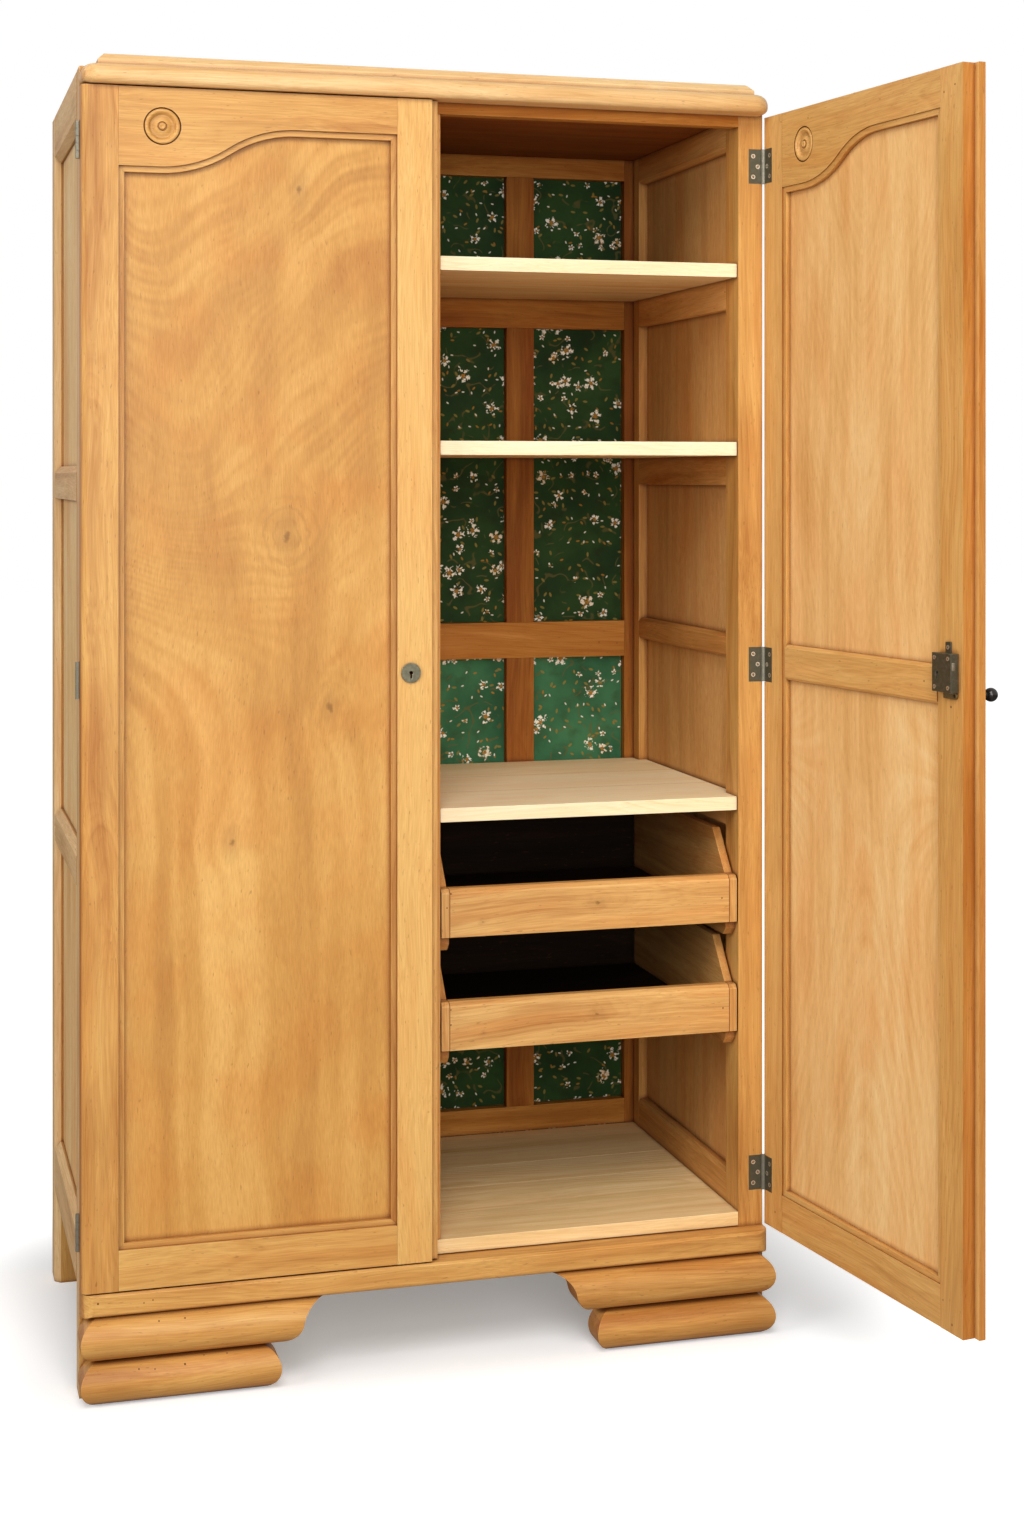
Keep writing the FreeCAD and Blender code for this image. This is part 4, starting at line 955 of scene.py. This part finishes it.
        # Each slot is a thin dark plate: painted shade in place of a cut groove.
        for slot in slots:
            made = bmesh.ops.create_cube(form, size=1.0, matrix=slot)
            for face in {f for vert in made["verts"] for f in vert.link_faces}:
                face.material_index = 1
        self.put(form, node, SCREW_STEEL, FILLER_AND_SLOT_SHADE)

    def put(self, form: bmesh.types.BMesh, node: str, *finishes: Finish) -> None:
        """Turns a mesh into the piece that stands for a node.

        Args:
            form: The mesh, which is freed.
            node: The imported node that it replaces.
            finishes: Its finishes, slot by slot.
        """
        for face in form.faces:
            face.smooth = True
        for edge in form.edges:
            edge.smooth = len(edge.link_faces) == 2 and edge.calc_face_angle(0) < self.smooth_below
        piece = placed(form, node + "_piece", node + "_form")
        for finish in finishes:
            piece.data.materials.append(self.finish(finish))
        piece.modifiers.new("even_shading", "WEIGHTED_NORMAL").keep_sharp = True
        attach(piece, self.bodies[node])
        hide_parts(node)
        self.made[node] = piece
        log.info("%s: %d faces", node, len(piece.data.polygons))


# The wardrobe's parts


@dataclass
class Carcass:
    """The standing box: frames, top, bottom, back and what it holds."""

    bench: Bench
    board_ease: float = 0.7
    shelf_ease: float = 1.2
    rail_ease: float = 2.2
    cornice_rounds: tuple[float, float] = (9.0 * MM, 15.0 * MM)
    cornice_corner: float = 26.0 * MM
    corner_facets: int = 12
    round_facets: int = 6
    shelf_seams: Seams = ((1, 0.155), (1, 0.31))
    close: float = 0.01 * MM

    def build(self) -> None:
        """Dresses every fixed piece."""
        wood = self.bench.wood
        ease = self.board_ease
        for node in ("front_posts", "back_posts", "side_rails"):
            wood(node, OILED_BEECH, ease, sides=((Side.OUTSIDE, LIT_SIDE_BEECH),), tones=(0.5, 0.42))
        for node in ("lower_foot_rolls", "upper_foot_rolls", "foot_blocks"):
            wood(node, OILED_BEECH, ease)
        wood("base_rail", OILED_BEECH, self.rail_ease, segments=4)
        self.cornice()
        wood("top_cap", TOP_LIT_BEECH, ease)
        for node in ("inner_side_rails", "centre_partition", "tray_runners", "floor_rails"):
            wood(node, AGED_SHADED_BEECH, ease)
        wood("shelf_bearers", BEARER_BEECH, ease)
        for node in ("back_rails", "top_rails"):
            wood(node, BACK_BEECH, ease)
        wood("back_stiles", BACK_BEECH, ease, tones=(0.26,) * 8)
        # Painted shade: the ceiling is the darkest copy of the beech.
        wood("ceiling_panel", SHADED_CEILING_BEECH)
        # The panels' inner faces get the darker copy as painted shade.
        wood("side_panels", SIDE_VENEER, grain=Grain.UP, steady=True, sides=((Side.INSIDE, SHADED_INSIDE_VENEER),))
        wood("floor_boards", FLOOR_PINE, self.shelf_ease, Grain.ACROSS)
        # The shelves' undersides get the darker copy as painted shade.
        wood("shelves", SCRUBBED_PINE, self.shelf_ease, Grain.ACROSS, sides=((Side.UNDER, SHADED_UNDER_PINE),),
             tones=(0.56, 0.66, 0.6), seams=self.shelf_seams)
        wood("printed_back_panel", BACK_BOARD, grain=Grain.UP, steady=True, sides=((Side.FRONT, PRINTED_PAPER),))
        for node, finish in (("hanging_rail", RAIL_STEEL), ("rail_sockets", RAIL_STEEL),
                             ("carcass_hinge_leaves", HINGE_STEEL), ("hinge_pins", HINGE_STEEL)):
            self.bench.metal(node, finish)
        self.bench.screws("carcass_hinge_screws")

    def cornice(self) -> None:
        """Runs the cornice's rounded section along the front and round both front corners."""
        low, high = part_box("cornice")
        sizes = [b - a for a, b in zip(low, high)]
        middle = [(a + b) / 2 for a, b in zip(low, high)]
        form = bmesh.new()
        bmesh.ops.create_cube(form, size=1.0, matrix=Matrix.Translation(middle) @ Matrix.Diagonal((*sizes, 1.0)))
        corners = [e for e in form.edges if all(v.co.y < middle[1] for v in e.verts)
                   and abs(e.verts[0].co.z - e.verts[1].co.z) > sizes[2] / 2]
        rounded(form, corners, self.cornice_corner, self.corner_facets)
        for height, radius in zip((low[2], high[2]), self.cornice_rounds):
            rim = [e for e in form.edges if all(abs(v.co.z - height) < self.close for v in e.verts)
                   and any(v.co.y < high[1] - self.close for v in e.verts)]
            rounded(form, rim, radius, self.round_facets)
        form.normal_update()
        form.faces.layers.float.new("worn")
        self.bench.mark_grain(form, "cornice", Grain.ACROSS)
        self.bench.put(form, "cornice", TOP_LIT_BEECH)


@dataclass
class Door:
    """One framed door with its beads, rosettes and fittings."""

    bench: Bench
    side: str
    stile_tones: tuple[float, float]
    board_ease: float = 0.6
    fine_ease: float = 0.3
    lock_ease: float = 1.5
    rosette_steps: int = 48

    def build(self) -> None:
        """Dresses the door."""
        bench = self.bench
        name = self.side + "_door_"
        inner = (Side.BACK, DOOR_BACK_BEECH)
        bench.wood(name + "stiles", OILED_BEECH, self.board_ease, sides=(inner, (Side.EDGE, DOOR_EDGE_BEECH)),
                   tones=self.stile_tones)
        for part, ease, tone in (("top_rail", self.board_ease, 0.52), ("bottom_rail", self.board_ease, 0.52),
                                 ("cross_rail", self.board_ease, 0.68), ("beads", self.fine_ease, 0.5)):
            bench.wood(name + part, OILED_BEECH, ease, sides=(inner,), tones=(tone,))
        bench.wood(name + "panel", DOOR_VENEER, grain=Grain.UP, steady=True, sides=((Side.BACK, INNER_VENEER),))
        self.rosettes(name + "rosettes")
        bench.metal(name + "hinge_leaves", HINGE_STEEL)
        bench.screws(name + "screws")
        bench.metal(name + "lock_case", LOCK_STEEL, self.lock_ease)
        bench.metal(name + "escutcheon", PLATE_STEEL, self.fine_ease)
        bench.metal(self.side + "_lock_bolt", SCREW_STEEL, self.fine_ease)

    def rosettes(self, node: str) -> None:
        """Turns the two rosettes: an outer roll, a hollow and a small ringed boss."""
        bench = self.bench
        to_closed = bench.to_closed(node)
        plain = [to_closed @ v.co for v in frame["nodes"][self.side + "_door_bottom_rail"].data.vertices]
        faces = (min(p.y for p in plain), max(p.y for p in plain))
        points = [to_closed @ v.co for v in frame["nodes"][node].data.vertices]
        middle = [(min(p[i] for p in points) + max(p[i] for p in points)) / 2 for i in range(3)]
        radius = (max(p.x for p in points) - min(p.x for p in points)) / 2
        form = bmesh.new()
        for face, outward in zip(faces, (-1.0, 1.0)):
            centre = Vector((middle[0], face, middle[2]))
            rim = [form.verts.new(centre + Vector((share * radius, outward * lift * MM, 0.0)))
                   for share, lift in ROSETTE_PROFILE]
            edges = [form.edges.new(pair) for pair in zip(rim, rim[1:])]
            bmesh.ops.spin(form, geom=rim + edges, cent=centre, axis=(0.0, 1.0, 0.0), angle=math.tau,
                           steps=self.rosette_steps, use_merge=True)
        bmesh.ops.remove_doubles(form, verts=form.verts, dist=0.01 * MM)
        bmesh.ops.recalc_face_normals(form, faces=form.faces)
        bmesh.ops.transform(form, matrix=to_closed.inverted(), verts=form.verts)
        form.normal_update()
        form.faces.layers.float.new("worn")
        bench.mark_grain(form, node, Grain.ACROSS)
        for face in form.faces:
            if (to_closed.to_3x3() @ face.normal).y > 0.0:
                face.material_index = 1
        bench.put(form, node, OILED_BEECH, DOOR_BACK_BEECH)


# Radius as a share of the rosette's, and height in millimetres over the door's face
ROSETTE_PROFILE = (
    (0.0, -0.2), (0.06, -0.2), (0.1, 0.4), (0.14, 0.4), (0.18, -0.4), (0.2, -2.6), (0.24, -2.6), (0.27, -1.4),
    (0.34, -1.5), (0.46, -3.0), (0.56, -4.0), (0.64, -3.8), (0.7, -2.2), (0.75, -0.3), (0.82, 0.6), (0.89, 0.5),
    (0.95, -0.4), (0.975, -2.0), (0.975, -4.8), (0.0, -4.8),
)


@dataclass
class Tray:
    """One open sliding tray."""

    bench: Bench
    name: str
    ease: float = 1.2
    side_thickness: float = 12.0 * MM

    def build(self) -> None:
        """Dresses the tray. A joint line near each end of the front shows where its sides end."""
        low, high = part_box(self.name + "_front")
        seams = ((0, low[0] + self.side_thickness), (0, high[0] - self.side_thickness))
        self.bench.wood(self.name + "_front", TRAY_BEECH, self.ease, steady=True, seams=seams)
        # The trays' inner faces and bottoms are near black: painted shade.
        self.bench.wood(self.name + "_sides", AGED_SHADED_BEECH, self.ease, sides=((Side.FRONT, TRAY_SHADE_PLY),))
        self.bench.wood(self.name + "_bottom", TRAY_SHADE_PLY)


@dataclass
class Studio:
    """Pale floor, soft lamps and the camera. Places are in metres from the carcass's middle, its post
    fronts and the floor."""

    eye: Place = (-0.739, -3.045, 1.23)
    heading: float = math.radians(15.6)
    lens_mm: float = 52.73
    sensor_mm: float = 36.0
    rise: float = -0.1898
    floor_reach: float = 20.0
    floor_shade: str = "#BCBCBC"
    floor_white: str = "#F4F4F4"
    floor_glow: float = 0.22
    shadow_middle: Place = (0.0, 0.26, 0.0)
    shadow_half: Place = (0.43, 0.2, 0.0)
    shadow_fade: float = 0.42
    sky: float = 0.12
    lamp_aim: Place = (0.1, 0.1, 0.9)
    # Name, place, width of the square and watts
    lamp_plan: tuple[tuple[str, Place, float, float], ...] = (
        ("top", (-0.9, -3.5, 4.2), 2.4, 128.0),
        ("front", (-0.3, -3.8, 1.6), 1.8, 66.0),
        ("left", (-3.7, -1.7, 1.9), 1.8, 56.0),
    )

    def build(self) -> None:
        """Sets up the whole studio."""
        self.camera()
        self.floor()
        self.lamps()
        bpy.context.scene.view_settings.view_transform = "Standard"

    def place(self, across: float, deep: float, up: float) -> Vector:
        """Turns a place in the studio into one in the frame."""
        return Vector((CARCASS_MIDDLE + across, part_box("front_posts")[0][1] + deep, up))

    def ray(self, column: float, row: float) -> Vector:
        """Gives the line of sight through one pixel of a picture of the photo's size."""
        ahead = Vector((math.sin(self.heading), math.cos(self.heading), 0.0))
        right = Vector((math.cos(self.heading), -math.sin(self.heading), 0.0))
        reach = self.lens_mm / self.sensor_mm * PHOTO_HEIGHT
        level = PHOTO_HEIGHT * (0.5 + self.rise)
        return ahead + right * (column - PHOTO_WIDTH / 2) / reach + Vector((0.0, 0.0, 1.0)) * (level - row) / reach

    def camera(self) -> None:
        """Places the level camera."""
        data = bpy.data.cameras.new("camera")
        data.lens = self.lens_mm
        data.sensor_width = self.sensor_mm
        data.shift_y = self.rise
        data.clip_start = 0.05
        data.clip_end = 60.0
        camera = linked("camera", data)
        camera.location = self.place(*self.eye)
        camera.rotation_euler = (math.radians(90), 0.0, -self.heading)
        bpy.context.scene.camera = camera

    def floor(self) -> None:
        """Makes the floor, which is white to the camera and keeps the shadow."""
        form = bmesh.new()
        bmesh.ops.create_grid(form, x_segments=1, y_segments=1, size=self.floor_reach)
        floor = placed(form, "floor", "floor")
        made = bpy.data.materials.new("studio_floor")
        tree = cleared(made)
        seen = add(tree, "LightPath")["Is Camera Ray"]
        matt = seen.to("Mix", self.floor_shade, self.floor_white).to("BsdfDiffuse")
        # The shadow keeps to the carcass's own footprint.
        away = add(tree, "TexCoord")["Object"].to("VectorMath.SUBTRACT", self.place(*self.shadow_middle))
        away = away.to("VectorMath.ABSOLUTE").to("VectorMath.SUBTRACT", self.shadow_half)
        away = away.to("VectorMath.MAXIMUM", (0.0, 0.0, 0.0)).to("VectorMath.LENGTH")
        glow = away.to("MapRange.SMOOTHSTEP", 0.0, self.shadow_fade, self.floor_glow, 1.0)
        light = add(tree, "Emission", Color=WHITE, Strength=seen * glow)
        matt.to("AddShader", light).to("OutputMaterial")
        floor.data.materials.append(made)

    def lamps(self) -> None:
        """Hangs the soft lamps and sets the pale surroundings."""
        world = bpy.data.worlds.new("studio")
        bpy.context.scene.world = world
        tree = cleared(world)
        path = add(tree, "LightPath")
        plain = path["Is Camera Ray"].to("Math.MAXIMUM", path["Is Glossy Ray"])
        plain = plain.to("Math.MAXIMUM", path["Is Transmission Ray"])
        strength = plain.to("MapRange", 0.0, 1.0, self.sky, 1.0)
        add(tree, "Background", Color=WHITE, Strength=strength).to("OutputWorld")
        for name, place, size, energy in self.lamp_plan:
            data = bpy.data.lights.new(name, "AREA")
            data.shape = "SQUARE"
            data.size = size
            data.energy = energy
            lamp = linked(name, data)
            lamp.location = self.place(*place)
            aim = self.place(*self.lamp_aim) - lamp.location
            lamp.rotation_euler = aim.to_track_quat("-Z", "Y").to_euler()


@dataclass
class NailMarks:
    """Filled nail and screw holes, found by looking from the camera through their places in the picture."""

    bench: Bench
    studio: Studio
    spots: tuple[tuple[int, int, float], ...]
    sink: float = 0.15 * MM

    def build(self) -> None:
        """Makes one piece of marks for every body that has any."""
        bpy.context.view_layer.update()
        eye = self.studio.place(*self.studio.eye)
        chance = random.Random("nail marks")
        forms = {}
        for column, row, radius in self.spots:
            hits = []
            for node, piece in self.bench.made.items():
                found, spot, normal, _ = piece.ray_cast(eye, self.studio.ray(column, row).normalized())
                if found:
                    hits.append(((spot - eye).length, node, spot, normal))
            if not hits:
                log.warning("no piece at %d, %d", column, row)
                continue
            _, node, spot, normal = min(hits, key=lambda hit: hit[0])
            form = forms.setdefault(self.bench.bodies[node], bmesh.new())
            turn = normal.to_track_quat("Z", "Y").to_matrix().to_4x4()
            squeeze = Matrix.Diagonal((chance.uniform(0.75, 1.0), chance.uniform(0.9, 1.25), 1.0, 1.0))
            bmesh.ops.create_cone(
                form, cap_ends=True, segments=12, radius1=radius * MM, radius2=radius * 0.8 * MM, depth=self.sink * 2,
                matrix=Matrix.Translation(spot - normal * self.sink * 0.8) @ turn @ squeeze)
        for body, form in forms.items():
            piece = placed(form, body + "_nail_marks", body + "_nail_marks_form")
            piece.data.materials.append(self.bench.finish(FILLER_AND_SLOT_SHADE))
            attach(piece, body)
            log.info("%s: %d faces", piece.name, len(piece.data.polygons))


# Column and row in a 1024 by 1536 picture, and the radius in millimetres
NAIL_SPOTS = (
    (98, 1304, 1.6), (144, 1303, 1.2), (153, 1300, 1.2), (159, 1321, 1.4), (185, 1318, 1.4), (308, 1298, 1.2),
    (185, 1364, 1.6), (139, 1369, 1.2), (155, 1369, 1.2), (204, 1355, 1.2), (227, 1353, 1.4),
    (944, 92, 1.6), (955, 84, 1.4), (808, 118, 1.4), (781, 122, 1.2), (775, 1212, 1.4), (952, 1325, 1.8),
    (943, 1300, 1.3), (725, 292, 1.4), (725, 468, 1.4), (599, 642, 1.4), (617, 643, 1.4),
    (951, 707, 2.0), (924, 681, 1.4),
    (451, 894, 1.2), (447, 908, 1.2), (722, 898, 1.4), (451, 1010, 1.2), (451, 1025, 1.2), (723, 1008, 1.4),
)


def closing_turns() -> dict[str, Matrix]:
    """Gives the turn that shuts the right door, for each body that rides on it."""
    joint = next(j for j in frame["joints"] if j["name"] == "right_door_hinge")
    hinge = Matrix.Translation(Vector(joint["pos_m"]))
    turn = hinge @ Matrix.Rotation(math.radians(joint["range_deg"][0]), 4, "Z") @ hinge.inverted()
    return {name: turn for name in ("right_door", "right_lock_bolt", "turn_knob")}


def main() -> None:
    """Builds the parts in order and reports each piece."""
    logging.basicConfig(level=logging.INFO, format="%(message)s")
    groups = frame["record"]["behaviour"]["bodies"]
    axes = tuple((j["pos_m"][0], j["pos_m"][1]) for j in frame["joints"] if j["name"].endswith("door_hinge"))
    bench = Bench({node: body for body, nodes in groups.items() for node in nodes}, closing_turns(), axes)
    Carcass(bench).build()
    Door(bench, "left", (0.42, 0.82)).build()
    Door(bench, "right", (0.62, 0.5)).build()
    Tray(bench, "upper_tray").build()
    Tray(bench, "lower_tray").build()
    bench.metal("turn_knob", KNOB_IRON)
    bench.metal("turn_catch", CATCH_BRASS, 0.3)
    studio = Studio()
    studio.build()
    NailMarks(bench, studio, NAIL_SPOTS).build()


if __name__ == "__main__":
    main()
